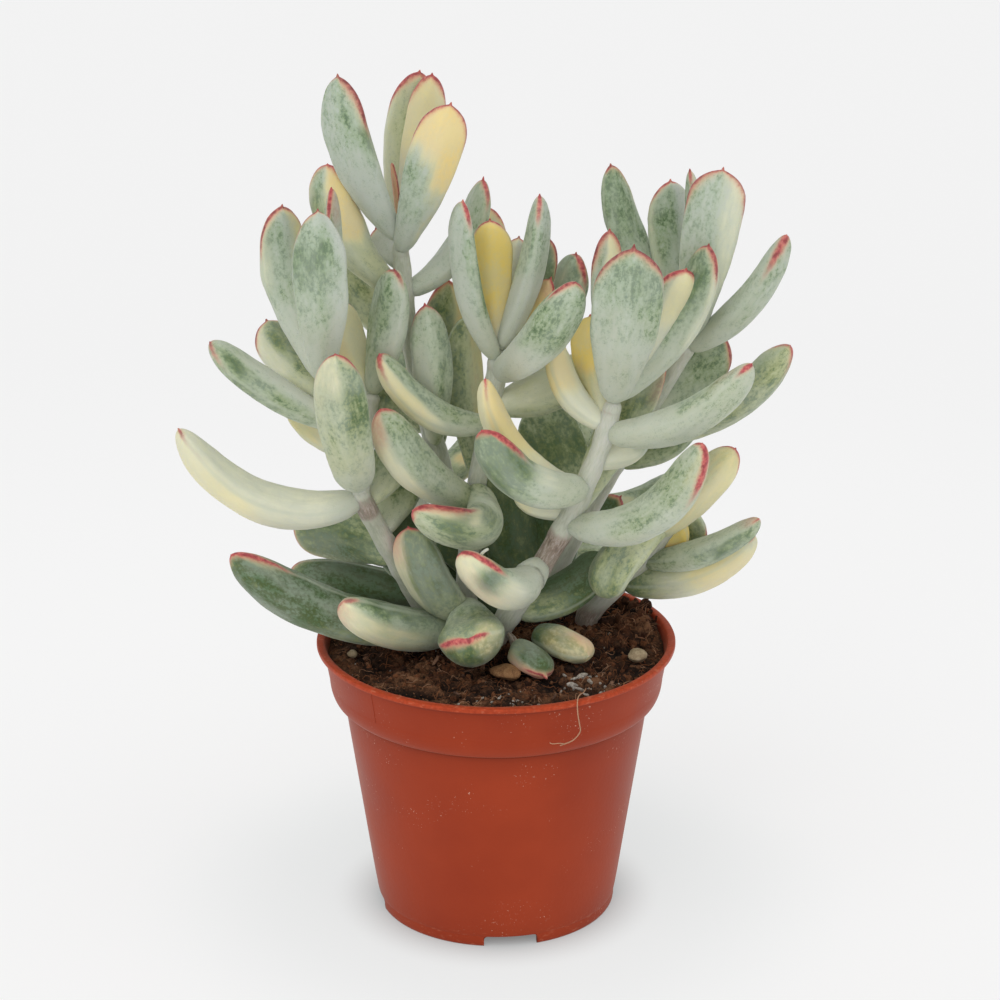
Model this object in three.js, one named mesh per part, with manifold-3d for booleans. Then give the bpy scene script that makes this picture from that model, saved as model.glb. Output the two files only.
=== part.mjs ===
// A potted pig's ear plant: nine leafy shoots stand in the soil of a thin-walled plastic nursery pot.
// Millimetres, +Z up. Heights are measured from the ground, and x and y from the pot's own axis.
// At the end the whole plant is moved so that the middle of its box stands over the origin.
import * as THREE from 'three';
import { mergeVertices } from 'three/addons/utils/BufferGeometryUtils.js';
import Module from 'manifold-3d';

const wasm = await Module();
wasm.setup();

// Driving dimensions of the pot
const POT_HEIGHT = 83;
const LIP_RADIUS = 52.3;
const LIP_INNER_RADIUS = 50;
const LIP_HEIGHT = 1.5;
const BAND_TOP_RADIUS = 50.3;
const BAND_RADIUS = 48.7;
const BAND_BOTTOM = 71.8;
const SHOULDER_RADIUS = 44.6;
const SHOULDER_BOTTOM = 65;
const SHOULDER_CURVE = [[46.9, 67.2], [48, 69.3]];
const FOOT_RADIUS = 35;
const FOOT_RING = 2;
const WALL = 0.9;
const FLOOR_UNDERSIDE = 3.4;
const NOTCH_WIDTH = 15.5;
const NOTCH_TURN = 7;
const NOTCHES = 4;
const DRAIN_HOLE_RADIUS = 4;
const DRAIN_HOLE_OFFSET = 21;
const POT_SEGMENTS = 40;

// Driving dimensions of the soil and of what is set in it
const GAP = 0.3;
const SOIL_TOP = 80.3;
const STEM_START = 82.5;
const PEG_BOTTOM = 66;
const PEG_CLEARANCE = 0.35;

// How finely leaves and stems are cut
const LEAF_SIDES = 8;
const BACK_LEAF_SIDES = 6;
const STEM_SIDES = 8;
const LEAF_STATIONS = [0, 0.22, 0.5, 0.76, 0.93];
const STEM_STATIONS = [0, 0.2, 0.4, 0.6, 0.8, 0.97];

// Shares of a leaf's width and thickness along its length
const LEAF_NECK = 0.4;
const WIDEST_AT = 0.62;
const THICKEST_AT = 0.45;
const ROOT_THICKNESS = 0.55;
const OUTER_SHARE = 0.56;

const STEM_FRONT = new THREE.Vector3(0.3, 1, 0.1);

const vector = (point) => new THREE.Vector3(...point);
const toRadians = THREE.MathUtils.degToRad;

// Solids

/** Turns a closed geometry into a solid, with its shared vertices merged and its collapsed faces dropped. */
function solidOf(geometry) {
  const bare = geometry.clone();
  bare.deleteAttribute('normal');
  bare.deleteAttribute('uv');
  const merged = mergeVertices(bare, 1e-4);
  const corners = merged.index.array;
  const kept = [];
  for (let i = 0; i < corners.length; i += 3) {
    const [a, b, c] = [corners[i], corners[i + 1], corners[i + 2]];
    if (a !== b && b !== c && c !== a) kept.push(a, b, c);
  }
  const vertProperties = Float32Array.from(merged.attributes.position.array);
  const triVerts = Uint32Array.from(kept);
  return new wasm.Manifold(new wasm.Mesh({ numProp: 3, vertProperties, triVerts }));
}

/** Turns a solid back into a geometry. */
function geometryOf(solid) {
  const { vertProperties, triVerts } = solid.getMesh();
  const geometry = new THREE.BufferGeometry();
  geometry.setAttribute('position', new THREE.BufferAttribute(vertProperties, 3));
  geometry.setIndex(new THREE.BufferAttribute(triVerts, 1));
  return geometry.toNonIndexed();
}

function fuse(solids) {
  return solids.reduce((whole, next) => whole.add(next));
}

/** An upright lathe-turned geometry from its outline of [radius, height] corners. */
function turned(outline, segments) {
  const corners = outline.map(([radius, height]) => new THREE.Vector2(radius, height));
  return new THREE.LatheGeometry(corners, segments).rotateX(Math.PI / 2);
}

/** An upright rod, from one height to another. */
function rod(x, y, bottom, top, radius, sides) {
  const geometry = new THREE.CylinderGeometry(radius, radius, top - bottom, sides);
  return geometry.rotateX(Math.PI / 2).translate(x, y, (bottom + top) / 2);
}

/**
 * A turned blank bent along a curve. The blank has a ring at each station, from 0 at the root to 1 at the tip.
 * Front is the side that faces out, and section(t) gives the half width, and the depth in front and behind.
 */
function bentAlong(curve, front, stations, sides, section) {
  const outline = [new THREE.Vector2(0, stations[0])];
  for (const station of stations) outline.push(new THREE.Vector2(1, station));
  outline.push(new THREE.Vector2(0, 1));
  const blank = new THREE.LatheGeometry(outline, sides);
  const places = blank.attributes.position;
  for (let i = 0; i < places.count; i += 1) {
    const t = places.getY(i);
    const along = curve.getTangent(t);
    const out = front.clone().addScaledVector(along, -front.dot(along)).normalize();
    const side = along.clone().cross(out);
    const { across, outward } = section(t, places.getX(i), places.getZ(i));
    const place = curve.getPoint(t).addScaledVector(side, across).addScaledVector(out, outward);
    places.setXYZ(i, place.x, place.y, place.z);
  }
  return solidOf(blank);
}

// Leaves and stems

/** The share of the full width at a place along the leaf: a narrow neck, broad past the middle, a round end. */
function widthShare(t) {
  const body = LEAF_NECK + (1 - LEAF_NECK) * Math.sin((Math.PI / 2) * Math.min(1, t / WIDEST_AT)) ** 1.3;
  const end = Math.sqrt(Math.max(0, 1 - (Math.max(0, t - WIDEST_AT) / (1 - WIDEST_AT)) ** 3));
  return body * end;
}

/** The share of the full thickness: thickest before the middle, then thinner to a blunt edge. */
function thicknessShare(t) {
  const rise = ROOT_THICKNESS + (1 - ROOT_THICKNESS) * Math.sin((Math.PI / 2) * Math.min(1, t / THICKEST_AT));
  const fall = 1 - 0.38 * (Math.max(0, t - THICKEST_AT) / (1 - THICKEST_AT)) ** 1.5;
  const end = Math.sqrt(Math.max(0, 1 - (Math.max(0, t - 0.72) / 0.28) ** 2.8));
  return rise * fall * end;
}

/**
 * One fleshy leaf. It grows from its stem at a share of the stem's length, and runs to its tip on a curve whose
 * middle bows out by the bow vector. The face on the bow's side is the fuller one.
 */
function leaf(stem, share, tip, bow, width, thickness, sides = LEAF_SIDES) {
  const root = stem.curve.getPoint(share);
  const end = vector(tip);
  const front = vector(bow);
  const middle = root.clone().add(end).multiplyScalar(0.5).addScaledVector(front, 2);
  const curve = new THREE.QuadraticBezierCurve3(root, middle, end);
  return bentAlong(curve, front, LEAF_STATIONS, sides, (t, x, z) => {
    const corner = 4 * x * x * z * z * Math.min(1, 2 * t);
    const depth = thickness * thicknessShare(t) * (z > 0 ? OUTER_SHARE : 1 - OUTER_SHARE);
    return {
      across: x * (1 + 0.08 * corner) * (width / 2) * widthShare(t),
      outward: z * (1 - 0.22 * corner) * depth,
    };
  });
}

/** A stem or branch on a curve through two guide points, thinner at its top than at its bottom. */
function branch(start, guides, bottomRadius, topRadius) {
  const curve = new THREE.CubicBezierCurve3(vector(start), ...guides.map(vector));
  const solid = bentAlong(curve, STEM_FRONT, STEM_STATIONS, STEM_SIDES, (t, x, z) => {
    const radius = bottomRadius + (topRadius - bottomRadius) * t;
    return { across: x * radius, outward: z * radius };
  });
  return { curve, solid };
}

/** A stem that stands in the soil on a straight peg. Its hole in the soil has the same place and sides. */
function standingStem(x, y, guides, bottomRadius, topRadius) {
  const stem = branch([x, y, STEM_START], guides, bottomRadius, topRadius);
  const peg = solidOf(rod(x, y, PEG_BOTTOM, STEM_START + 1, bottomRadius + 0.2, STEM_SIDES));
  const holeRadius = bottomRadius + 0.2 + PEG_CLEARANCE;
  const hole = solidOf(rod(x, y, PEG_BOTTOM - GAP, POT_HEIGHT + 20, holeRadius, STEM_SIDES));
  return { curve: stem.curve, solid: stem.solid.add(peg), hole };
}

// The nine shoots

/** The left shoot: one stem that forks into two leafy branches above the rim. */
function leftShoot() {
  const stem = standingStem(-18, 8.5, [[-26, -1, 103], [-37, -12, 125], [-39, -15, 136]], 3.4, 2.6);
  const outer = branch([-38, -15, 134], [[-40, -17, 145], [-43, -19, 158], [-48, -20, 169]], 2.6, 2.2);
  const inner = branch([-38, -14, 134], [[-37, -8, 142], [-36, -4, 151], [-35, -2, 159]], 2.4, 2);
  return {
    stem,
    solids: [
      outer.solid,
      inner.solid,
      // low leaves of the stem, the long one out to the left first
      leaf(stem, 0.87, [-88, -24, 155.5], [-2.5, 0, -11], 12, 12.5),
      leaf(stem, 0.97, [-43, -44, 183.5], [0, -7, 0], 14.5, 11),
      leaf(stem, 0.44, [-60, 12, 113.5], [0, 6, -0.5], 17, 10),
      leaf(stem, 0.6, [-29, 8, 133], [1, 4, 0], 12, 7),
      leaf(stem, 0.81, [-27.5, -2, 145], [1.5, 4, -1], 12, 7),
      // the outer branch, three leaves in its crown and three below them
      leaf(outer, 0.97, [-59, -4, 214], [-4.5, 9, 0], 14, 9),
      leaf(outer, 0.98, [-47.5, -33, 220.5], [0.5, -7, 0], 14.5, 8),
      leaf(outer, 0.92, [-44.5, -20, 223], [1, 6, 0], 10, 5),
      leaf(outer, 0.78, [-65, 4, 178.5], [-2.5, 4, -2], 13, 9),
      leaf(outer, 0.58, [-78.5, -24, 180.5], [-0.5, 1, -2.5], 11, 9.5),
      leaf(outer, 0.32, [-58, 0, 158], [-1, 4, -2], 12, 9),
      // the inner branch
      leaf(inner, 0.98, [-28, -11, 197.5], [1, 1, 0], 13, 10),
      leaf(inner, 0.92, [-45.5, -2, 186], [-1.5, 3, 0], 12, 6),
    ],
  };
}

/** The tallest shoot, which ends in four upright leaves. */
function tallShoot() {
  const stem = standingStem(-2, 26, [[-16, 12, 132], [-25, 8, 153], [-27, 3, 205]], 3.4, 2.3);
  return {
    stem,
    solids: [
      // the crown
      leaf(stem, 0.98, [-43, -6, 251], [-3, -6, -1], 14, 7),
      leaf(stem, 0.98, [-21, 10, 248.5], [-1.5, 7, 0], 13, 7),
      leaf(stem, 0.98, [-17.5, 4, 249], [1, 6, 0], 11, 7),
      leaf(stem, 0.96, [-12, -14, 245], [0, -6, -0.5], 14, 8),
      leaf(stem, 0.92, [-34, 12, 203], [-1, 2, -0.5], 6.5, 5),
      // a pair below the crown
      leaf(stem, 0.87, [-3.5, 11, 218], [4, 3, -5], 12, 8),
      leaf(stem, 0.86, [-46.5, 0, 224.5], [-5, -2, -1.5], 13, 11),
      // lower leaves
      leaf(stem, 0.73, [-43.5, 14, 192], [-1.5, 4, -1.5], 13, 8),
      leaf(stem, 0.5, [-32.5, 18, 159], [-1.5, 4, -1], 13, 8),
      leaf(stem, 0.46, [-20, -2, 185], [1, -4, 0], 11.5, 9),
      leaf(stem, 0.43, [-13.5, 14, 187.5], [-1, 5, 0], 12, 7),
    ],
  };
}

/** The middle shoot, with a spread crown and two long leaves near its foot. */
function middleShoot() {
  const stem = standingStem(-9, 16.5, [[-9, 6, 125], [-1, 0, 147], [1, -3, 173]], 3.3, 2.4);
  return {
    stem,
    solids: [
      // the crown
      leaf(stem, 0.94, [-9, -14, 218], [-3.5, -2, -0.5], 12, 7.5),
      leaf(stem, 0.98, [-1.7, 1, 208], [-0.5, 5, 0], 11.5, 7),
      leaf(stem, 0.99, [12, -8, 218], [2.5, 0, -0.5], 12, 8),
      leaf(stem, 0.9, [21.5, -34, 200.5], [1, -5, -2.5], 14, 12),
      leaf(stem, 0.97, [-2.3, 21, 207], [-0.5, 6, 0], 10, 6),
      leaf(stem, 0.96, [15, 4, 202.5], [1.5, 4, -0.5], 10, 6),
      leaf(stem, 0.96, [6.5, 12, 200.5], [0.5, 5, 0], 9, 6),
      leaf(stem, 0.88, [22.5, 6, 197.5], [5, 4, -2], 14, 9),
      leaf(stem, 0.88, [15.5, 0, 192], [1, 2, -1], 8, 6),
      // leaves along the stem
      leaf(stem, 0.76, [26.5, 3, 166], [0, 3, -3.5], 12, 13),
      leaf(stem, 0.68, [-32.5, -14, 174], [-1.5, -1, -6], 10, 9.5),
      leaf(stem, 0.45, [-9, 9, 178], [-1.5, 4, 0], 11, 7),
      leaf(stem, 0.38, [-32, -22, 160.5], [-2.5, -4, -3.5], 13, 12),
      leaf(stem, 0.43, [-23.5, -26, 132], [9, -4, -7.5], 12, 12),
      leaf(stem, 0.03, [-61, 17, 97], [0, 0, 1], 11, 11),
    ],
  };
}

/** The front shoot, with the broadest leaf of the crown turned to the front. */
function frontShoot() {
  const stem = standingStem(-1, 0, [[15, -12, 112], [29, -17, 138], [33, -17, 163]], 3.6, 2.5);
  return {
    stem,
    solids: [
      // the crown
      leaf(stem, 0.98, [37, -34, 211], [0, -5, 0], 19.5, 9),
      leaf(stem, 1, [52.5, -12, 198], [3, 6, -1], 12, 9),
      leaf(stem, 0.98, [58.5, -12, 205], [5, 6, -3], 13, 8),
      leaf(stem, 0.98, [31.5, -4, 207], [-1, 6, 0], 9, 7),
      leaf(stem, 0.9, [26.5, 2, 180.5], [-1, 4, 0], 12, 8),
      leaf(stem, 0.88, [17, -10, 177], [-3.5, 2, -3], 9.5, 8.5),
      leaf(stem, 0.85, [69.5, -34, 177.5], [2, -2, -5], 11, 11),
      // leaves along the stem, to the left and to the right in turn
      leaf(stem, 0.74, [41, -8, 151], [1.5, 3, -2.5], 11, 10),
      leaf(stem, 0.64, [-4, -34, 158.5], [-2, -3, -6], 13, 12.5),
      leaf(stem, 0.62, [-3, -24, 170], [-4.5, 2, -6.5], 10, 9.5),
      leaf(stem, 0.52, [5.5, -8, 134], [-1, 4, -2.5], 10, 7),
      leaf(stem, 0.5, [46.5, -1, 174.5], [1.5, 4, -1], 13, 8),
      leaf(stem, 0.48, [56, -42, 157.5], [4.5, -3, -8], 13, 11),
      leaf(stem, 0.32, [-9.5, -36, 123.5], [1, -4, -9.5], 12.5, 13),
      leaf(stem, 0.12, [31.5, 4, 108], [3, 3, -4], 14, 10.5),
    ],
  };
}

/** The shoot behind the front one, which leans far out to the right. */
function rightBackShoot() {
  const stem = standingStem(12.5, 21.5, [[23, 18, 113], [41, 10, 143], [56, 6, 173]], 3.4, 2.4);
  return {
    stem,
    solids: [
      // the crown
      leaf(stem, 0.97, [32, 12, 221.5], [-4, 5, -0.5], 11, 7),
      leaf(stem, 0.98, [49, 14, 216.5], [-1.5, 5, 0], 14, 6),
      leaf(stem, 0.99, [54, 8, 221], [1, 0, 0], 10, 6),
      leaf(stem, 0.98, [63, 2, 223], [-1, -6, 0], 16, 7),
      leaf(stem, 0.96, [80, -10, 207], [2, 0, -4], 11, 9),
      // leaves along the stem
      leaf(stem, 0.69, [66, 12, 170.5], [1.5, 4, -1], 14, 9),
      leaf(stem, 0.63, [83, 0, 172], [3.5, 3, -6], 11, 12),
      leaf(stem, 0.55, [59, 14, 151], [2, 3, -4.5], 12, 8),
      leaf(stem, 0.35, [12.5, 16, 149], [-0.5, 5, 0], 16, 8),
      leaf(stem, 0.26, [37, 24, 118], [1, 3, -1.5], 9, 6),
      leaf(stem, 0.03, [4, 12, 132.5], [-2.5, 5, 0], 15, 8),
    ],
  };
}

/** The short shoot low on the right. */
function rightShoot() {
  const stem = standingStem(27, 17.5, [[33, 14, 93], [44, 5, 102], [53, 2, 124]], 3.4, 2.5);
  return {
    stem,
    solids: [
      leaf(stem, 0.84, [67.5, -12, 145.5], [-1.5, -3, -0.5], 11.5, 11),
      leaf(stem, 0.63, [74.5, -14, 125], [1, -1, -3], 10, 8.5),
      leaf(stem, 0.42, [74.5, -2, 115.5], [1.5, 0, -4.2], 12, 12.5),
      leaf(stem, 0.91, [32, -12, 100], [-3, -3, 2.5], 17, 11),
      leaf(stem, 0.94, [47, 12, 103], [1, 5, 0], 10, 6),
      leaf(stem, 0.99, [57.5, 9, 106], [1.5, 3, 0], 9, 5),
    ],
  };
}

/** The low rosette at the front, whose leaves reach over the rim to the left. */
function lowShoot() {
  const stem = standingStem(-11, 3, [[-10.5, 2, 86], [-10, 0, 90], [-9, -2, 94]], 3.6, 3);
  return {
    stem,
    solids: [
      leaf(stem, 0.95, [-7, -38, 98.6], [0, 0, -2], 22, 15.5),
      leaf(stem, 0.3, [-43, -30, 106], [-1, -2, -3.5], 12.5, 13),
      leaf(stem, 0.4, [-74.5, -24, 118], [-1.5, -2, -7.5], 13.5, 16),
      leaf(stem, 0.75, [-25, -12, 122], [-1.5, -5, -2.5], 15, 10.5),
    ],
  };
}

/** The back left shoot. */
function backLeftShoot() {
  const stem = standingStem(-15, 35, [[-20, 42, 100], [-28, 50, 116], [-30, 53, 134]], 3.3, 2.4);
  const backLeaf = (...sizes) => leaf(stem, ...sizes, BACK_LEAF_SIDES);
  return {
    stem,
    solids: [
      backLeaf(0.98, [-30, 62, 160], [-1, 5, 0], 12, 8),
      backLeaf(0.97, [-14, 60, 160], [2, 4, 0], 12, 8),
      backLeaf(0.88, [-44, 48, 152], [-4, 0, -3], 12, 9),
      backLeaf(0.84, [-20, 76, 150], [0, 5, -4], 13, 9),
      backLeaf(0.66, [-46, 64, 124], [-2, 2, -6], 12, 10),
      backLeaf(0.6, [-2, 70, 128], [3, 3, -5], 13, 10),
      backLeaf(0.34, [-30, 74, 106], [0, 3, -7], 13, 10),
      backLeaf(0.28, [-48, 42, 104], [-1, 0, -6], 12, 10),
    ],
  };
}

/** The back right shoot. */
function backRightShoot() {
  const stem = standingStem(15, 38, [[20, 46, 96], [26, 52, 110], [30, 54, 124]], 3.3, 2.4);
  const backLeaf = (...sizes) => leaf(stem, ...sizes, BACK_LEAF_SIDES);
  return {
    stem,
    solids: [
      backLeaf(0.98, [34, 64, 154], [1, 5, 0], 13, 8),
      backLeaf(0.96, [18, 60, 150], [-3, 4, 0], 12, 8),
      backLeaf(0.86, [50, 50, 142], [4, 0, -3], 12, 9),
      backLeaf(0.78, [34, 80, 134], [1, 5, -4], 13, 9),
      backLeaf(0.58, [56, 60, 112], [2, 2, -6], 12, 10),
      backLeaf(0.5, [10, 76, 112], [-2, 3, -5], 12, 10),
      backLeaf(0.3, [40, 74, 98], [2, 3, -6], 13, 10),
    ],
  };
}

// The pot

/** The wall's outer outline, from the foot ring up to the lip's underside. */
function outerWall() {
  return [
    [FOOT_RADIUS, 0.8],
    [FOOT_RADIUS + 0.4, FLOOR_UNDERSIDE],
    [SHOULDER_RADIUS, SHOULDER_BOTTOM],
    ...SHOULDER_CURVE,
    [BAND_RADIUS, BAND_BOTTOM],
    [BAND_TOP_RADIUS, POT_HEIGHT - LIP_HEIGHT - 0.4],
  ];
}

/** The wall's inner outline from the floor up to the lip, drawn in by the wall's thickness and a clearance. */
function innerWall(clearance) {
  const inset = WALL + clearance;
  const wall = outerWall().slice(2).map(([radius, height]) => [radius - inset, height]);
  return [[FOOT_RADIUS + 0.5 - inset, FLOOR_UNDERSIDE + inset], ...wall];
}

/** The pot: a turned shell with a raised floor, notches through its foot ring and drain holes in its floor. */
function pot() {
  const footInside = FOOT_RADIUS - FOOT_RING;
  const outline = [
    [0, FLOOR_UNDERSIDE],
    [footInside, FLOOR_UNDERSIDE],
    [footInside, 0],
    [FOOT_RADIUS - 0.6, 0],
    ...outerWall(),
    [LIP_RADIUS, POT_HEIGHT - LIP_HEIGHT],
    [LIP_RADIUS, POT_HEIGHT - 0.3],
    [LIP_RADIUS - 0.4, POT_HEIGHT],
    [LIP_INNER_RADIUS, POT_HEIGHT],
    ...innerWall(0).reverse(),
    [0, FLOOR_UNDERSIDE + WALL],
  ];
  let shell = solidOf(turned(outline, POT_SEGMENTS));
  for (let i = 0; i < NOTCHES; i += 1) {
    const turn = toRadians(NOTCH_TURN - 90 + (360 / NOTCHES) * i);
    const notch = new THREE.BoxGeometry(8, NOTCH_WIDTH, FLOOR_UNDERSIDE + 2);
    notch.translate(FOOT_RADIUS - 2.5, 0, FLOOR_UNDERSIDE / 2 - 1).rotateZ(turn);
    const x = DRAIN_HOLE_OFFSET * Math.cos(turn);
    const y = DRAIN_HOLE_OFFSET * Math.sin(turn);
    const drain = rod(x, y, FLOOR_UNDERSIDE - 2, FLOOR_UNDERSIDE + 4, DRAIN_HOLE_RADIUS, 10);
    shell = shell.subtract(solidOf(notch)).subtract(solidOf(drain));
  }
  return shell;
}

// The soil

/** How far the soil's surface stands above its general level. A low mound leans on the rim at the back right. */
function soilRise(x, y) {
  const swell = 0.7 * Math.sin(0.19 * x + 1.3) * Math.cos(0.16 * y - 0.4);
  const lumps = 0.4 * Math.sin(0.43 * x - 0.31 * y);
  const mound = 3.2 * Math.exp(-((x - 42) ** 2 + (y - 17) ** 2) / 110);
  return swell + lumps + mound;
}

/** The soil fills the pot to just below its rim, with a plain hole for each stem. */
function soil(holes) {
  const wall = innerWall(1.5 * GAP);
  const edge = BAND_TOP_RADIUS - WALL - 2 * GAP;
  const outline = [[0, FLOOR_UNDERSIDE + WALL + GAP], ...wall.slice(0, -1), [edge, SOIL_TOP - 1]];
  for (const radius of [44, 36, 27, 18, 9, 0]) outline.push([radius, SOIL_TOP]);
  const body = turned(outline, POT_SEGMENTS);
  const places = body.attributes.position;
  for (let i = 0; i < places.count; i += 1) {
    const [x, y, z] = [places.getX(i), places.getY(i), places.getZ(i)];
    if (z > SOIL_TOP - 0.5) places.setZ(i, z + soilRise(x, y));
  }
  return holes.reduce((left, hole) => left.subtract(hole), solidOf(body));
}

// What lies on the soil

/** A fallen leaf, on a straight line from its broken root to its tip. */
function fallenLeaf(root, tip, width, thickness) {
  const start = vector(root);
  const line = { curve: new THREE.LineCurve3(start, start) };
  return leaf(line, 0, tip, [0, 0, 0.4], width, thickness);
}

/** A rounded stone with an uneven surface. */
function stone(x, y, z, length, width, height, turn) {
  const geometry = new THREE.IcosahedronGeometry(1, 1);
  const places = geometry.attributes.position;
  for (let i = 0; i < places.count; i += 1) {
    const point = new THREE.Vector3().fromBufferAttribute(places, i);
    const swell = 1 + 0.09 * Math.sin(3.1 * point.x + 2.3 * point.y) + 0.06 * Math.sin(4.3 * point.z - 2 * point.y);
    places.setXYZ(i, point.x * swell, point.y * swell, point.z * swell);
  }
  geometry.scale(length / 2, width / 2, height / 2).rotateZ(toRadians(turn)).translate(x, y, z);
  return solidOf(geometry);
}

// Assembly

const plant = new THREE.Group();

function addPart(name, solid, color, roughness) {
  const material = new THREE.MeshStandardMaterial({ color, roughness, metalness: 0 });
  const mesh = new THREE.Mesh(geometryOf(solid), material);
  mesh.name = name;
  plant.add(mesh);
}

const shoots = {
  shoot_tall: [tallShoot(), 0x9dab95],
  shoot_middle: [middleShoot(), 0xa9b391],
  shoot_front: [frontShoot(), 0x9fac9a],
  shoot_left: [leftShoot(), 0x97a694],
  shoot_low: [lowShoot(), 0x93a38a],
  shoot_right_back: [rightBackShoot(), 0x9aa98f],
  shoot_right: [rightShoot(), 0xa3a883],
  shoot_back_left: [backLeftShoot(), 0x93a48f],
  shoot_back_right: [backRightShoot(), 0x96a68c],
};

const holes = Object.values(shoots).map(([shoot]) => shoot.stem.hole);

addPart('pot', pot(), 0x9b3f28, 0.45);
addPart('soil', soil(holes), 0x3a2a20, 0.95);
for (const [name, [shoot, color]] of Object.entries(shoots)) {
  addPart(name, fuse([shoot.stem.solid, ...shoot.solids]), color, 0.6);
}
addPart('fallen_leaf_pointed', fallenLeaf([4.8, -9, 84.2], [15.8, -32, 83], 9, 6.5), 0x8b966a, 0.6);
addPart('fallen_leaf_cream', fallenLeaf([11.8, -3.5, 85.2], [26.5, -20.5, 85.2], 11, 9), 0xb9b98a, 0.6);
addPart('stone_brown', stone(2.8, -25.5, 82.6, 9, 6, 4, -25), 0x7d5b3d, 0.85);
addPart('stone_beige', stone(40.5, -13.5, 82.6, 5.4, 4.8, 4, 20), 0x9a8668, 0.85);
addPart('stone_small', stone(-41.5, -11, 82.1, 2.8, 2.4, 2.4, 0), 0xb5a488, 0.85);

const box = new THREE.Box3().setFromObject(plant);
const middle = box.getCenter(new THREE.Vector3());
plant.position.set(-middle.x, -middle.y, -box.min.z);

const model = new THREE.Group();
model.add(plant);
model.updateMatrixWorld(true);

export default model;
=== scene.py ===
"""A potted pig's ear plant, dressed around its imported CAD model.

Shapes are worked out in millimetres in the pot's own frame: x and y from the pot's axis, z from the ground.
Each shoot is rebuilt with finer leaves on the same curves as in the CAD model, and painted with point values
that its material turns into bloom, mottling, cream streaks and red margins.
"""

import math

import bmesh
import bpy
import numpy as np
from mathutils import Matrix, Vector


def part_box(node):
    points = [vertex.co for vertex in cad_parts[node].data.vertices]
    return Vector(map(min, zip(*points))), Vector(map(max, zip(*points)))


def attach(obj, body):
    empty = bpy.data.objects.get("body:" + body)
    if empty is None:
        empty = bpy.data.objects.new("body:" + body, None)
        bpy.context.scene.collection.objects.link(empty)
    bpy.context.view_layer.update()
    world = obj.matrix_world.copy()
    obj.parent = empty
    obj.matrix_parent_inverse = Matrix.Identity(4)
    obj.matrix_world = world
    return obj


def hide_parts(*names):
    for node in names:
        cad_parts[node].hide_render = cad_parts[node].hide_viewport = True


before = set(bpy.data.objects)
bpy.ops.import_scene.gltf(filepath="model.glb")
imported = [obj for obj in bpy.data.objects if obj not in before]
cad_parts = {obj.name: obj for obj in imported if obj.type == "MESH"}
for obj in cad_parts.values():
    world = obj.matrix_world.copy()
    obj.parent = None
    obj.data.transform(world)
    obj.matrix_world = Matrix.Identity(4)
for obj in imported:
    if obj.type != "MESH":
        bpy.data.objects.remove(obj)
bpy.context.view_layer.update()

MM = 0.001
IN_MM = (1000, 1000, 1000)
pot_low, pot_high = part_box("pot")
POT_AXIS = np.array([(pot_low.x + pot_high.x) / 2, (pot_low.y + pot_high.y) / 2, 0.0])

# The view of the photograph
CAMERA_TILT = math.radians(20.3)
CAMERA_DISTANCE = 900
CAMERA_AIM = np.array([1.1, 0, 125.4])
CAMERA_LENS = 112.9
VIEW_RIGHT = np.array([1.0, 0, 0])
VIEW_UP = np.array([0, math.sin(CAMERA_TILT), math.cos(CAMERA_TILT)])
VIEW_AWAY = np.array([0, math.cos(CAMERA_TILT), -math.sin(CAMERA_TILT)])

# Sizes of the pot, as in the CAD model
POT_HEIGHT = 83
LIP_RADIUS = 52.3
LIP_INNER_RADIUS = 50
LIP_HEIGHT = 1.5
BAND_TOP_RADIUS = 50.3
BAND_RADIUS = 48.7
BAND_BOTTOM = 71.8
SHOULDER_RADIUS = 44.6
SHOULDER_BOTTOM = 65
FOOT_RADIUS = 35
FOOT_RING = 2
WALL = 0.9
FLOOR_UNDERSIDE = 3.4
NOTCH_WIDTH = 15.5
NOTCH_TURN = 7
NOTCHES = 4
DRAIN_HOLE_RADIUS = 4
DRAIN_HOLE_OFFSET = 21

# Sizes of the soil and stems, as in the CAD model
SOIL_TOP = 80.3
STEM_START = 82.5
PEG_BOTTOM = 66

# Shares of a leaf's width and thickness along its length, as in the CAD model
LEAF_NECK = 0.4
WIDEST_AT = 0.62
THICKEST_AT = 0.45
ROOT_THICKNESS = 0.55
OUTER_SHARE = 0.56
STEM_FRONT = np.array([0.3, 1, 0.1])

# How finely the leaves are cut, and the small point on each leaf's end
LEAF_STATIONS = 44
TIP_STATIONS = 10
TIP_FROM = 0.93
LEAF_QUARTER = 11
POINT_LENGTH = 1.2
POINT_RADIUS = 0.5
STEM_RINGS = 110
STEM_SIDES = 28

# A leaf this much wider than thick counts as flat. A red margin is where it starts and how wide it is, and one
# that would start past the tip is none. Patches of colour fade out over their border.
FLAT_FROM = 1.25
USUAL_RIM = (0.78, 0.5)
NO_RIM = (2, 0.5)
PATCH_BORDER = 0.12

# How finely the pot, its drain holes and the soil are cut
POT_SIDES = 240
DRAIN_SIDES = 32
SOIL_ROWS = 128
SOIL_SIDES = 424

# The fine mould line on the pot's band
SEAM_TURN = math.radians(-90 - 44.5)
SEAM_HEIGHT = 0.14

# Litter on the soil
LUMP_SHAPES = 12
CRUMBS = 2000
SPECKS = 60
CLODS = 190
MOUND_CLODS = 26
BARK_BITS = 36
HEAPED_CLODS = 60
FIBRES = 950
STANDING_FIBRES = 130
MOUND = (40, 12)


# Small helpers


def unit(vector):
    vector = np.asarray(vector, float)
    return vector / (np.linalg.norm(vector, axis=-1, keepdims=True) + 1e-12)


def ease(value, low, high):
    """0 below low, 1 above high, and smooth between them."""
    share = np.clip((np.asarray(value, float) - low) / (high - low), 0, 1)
    return share * share * (3 - 2 * share)


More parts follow.
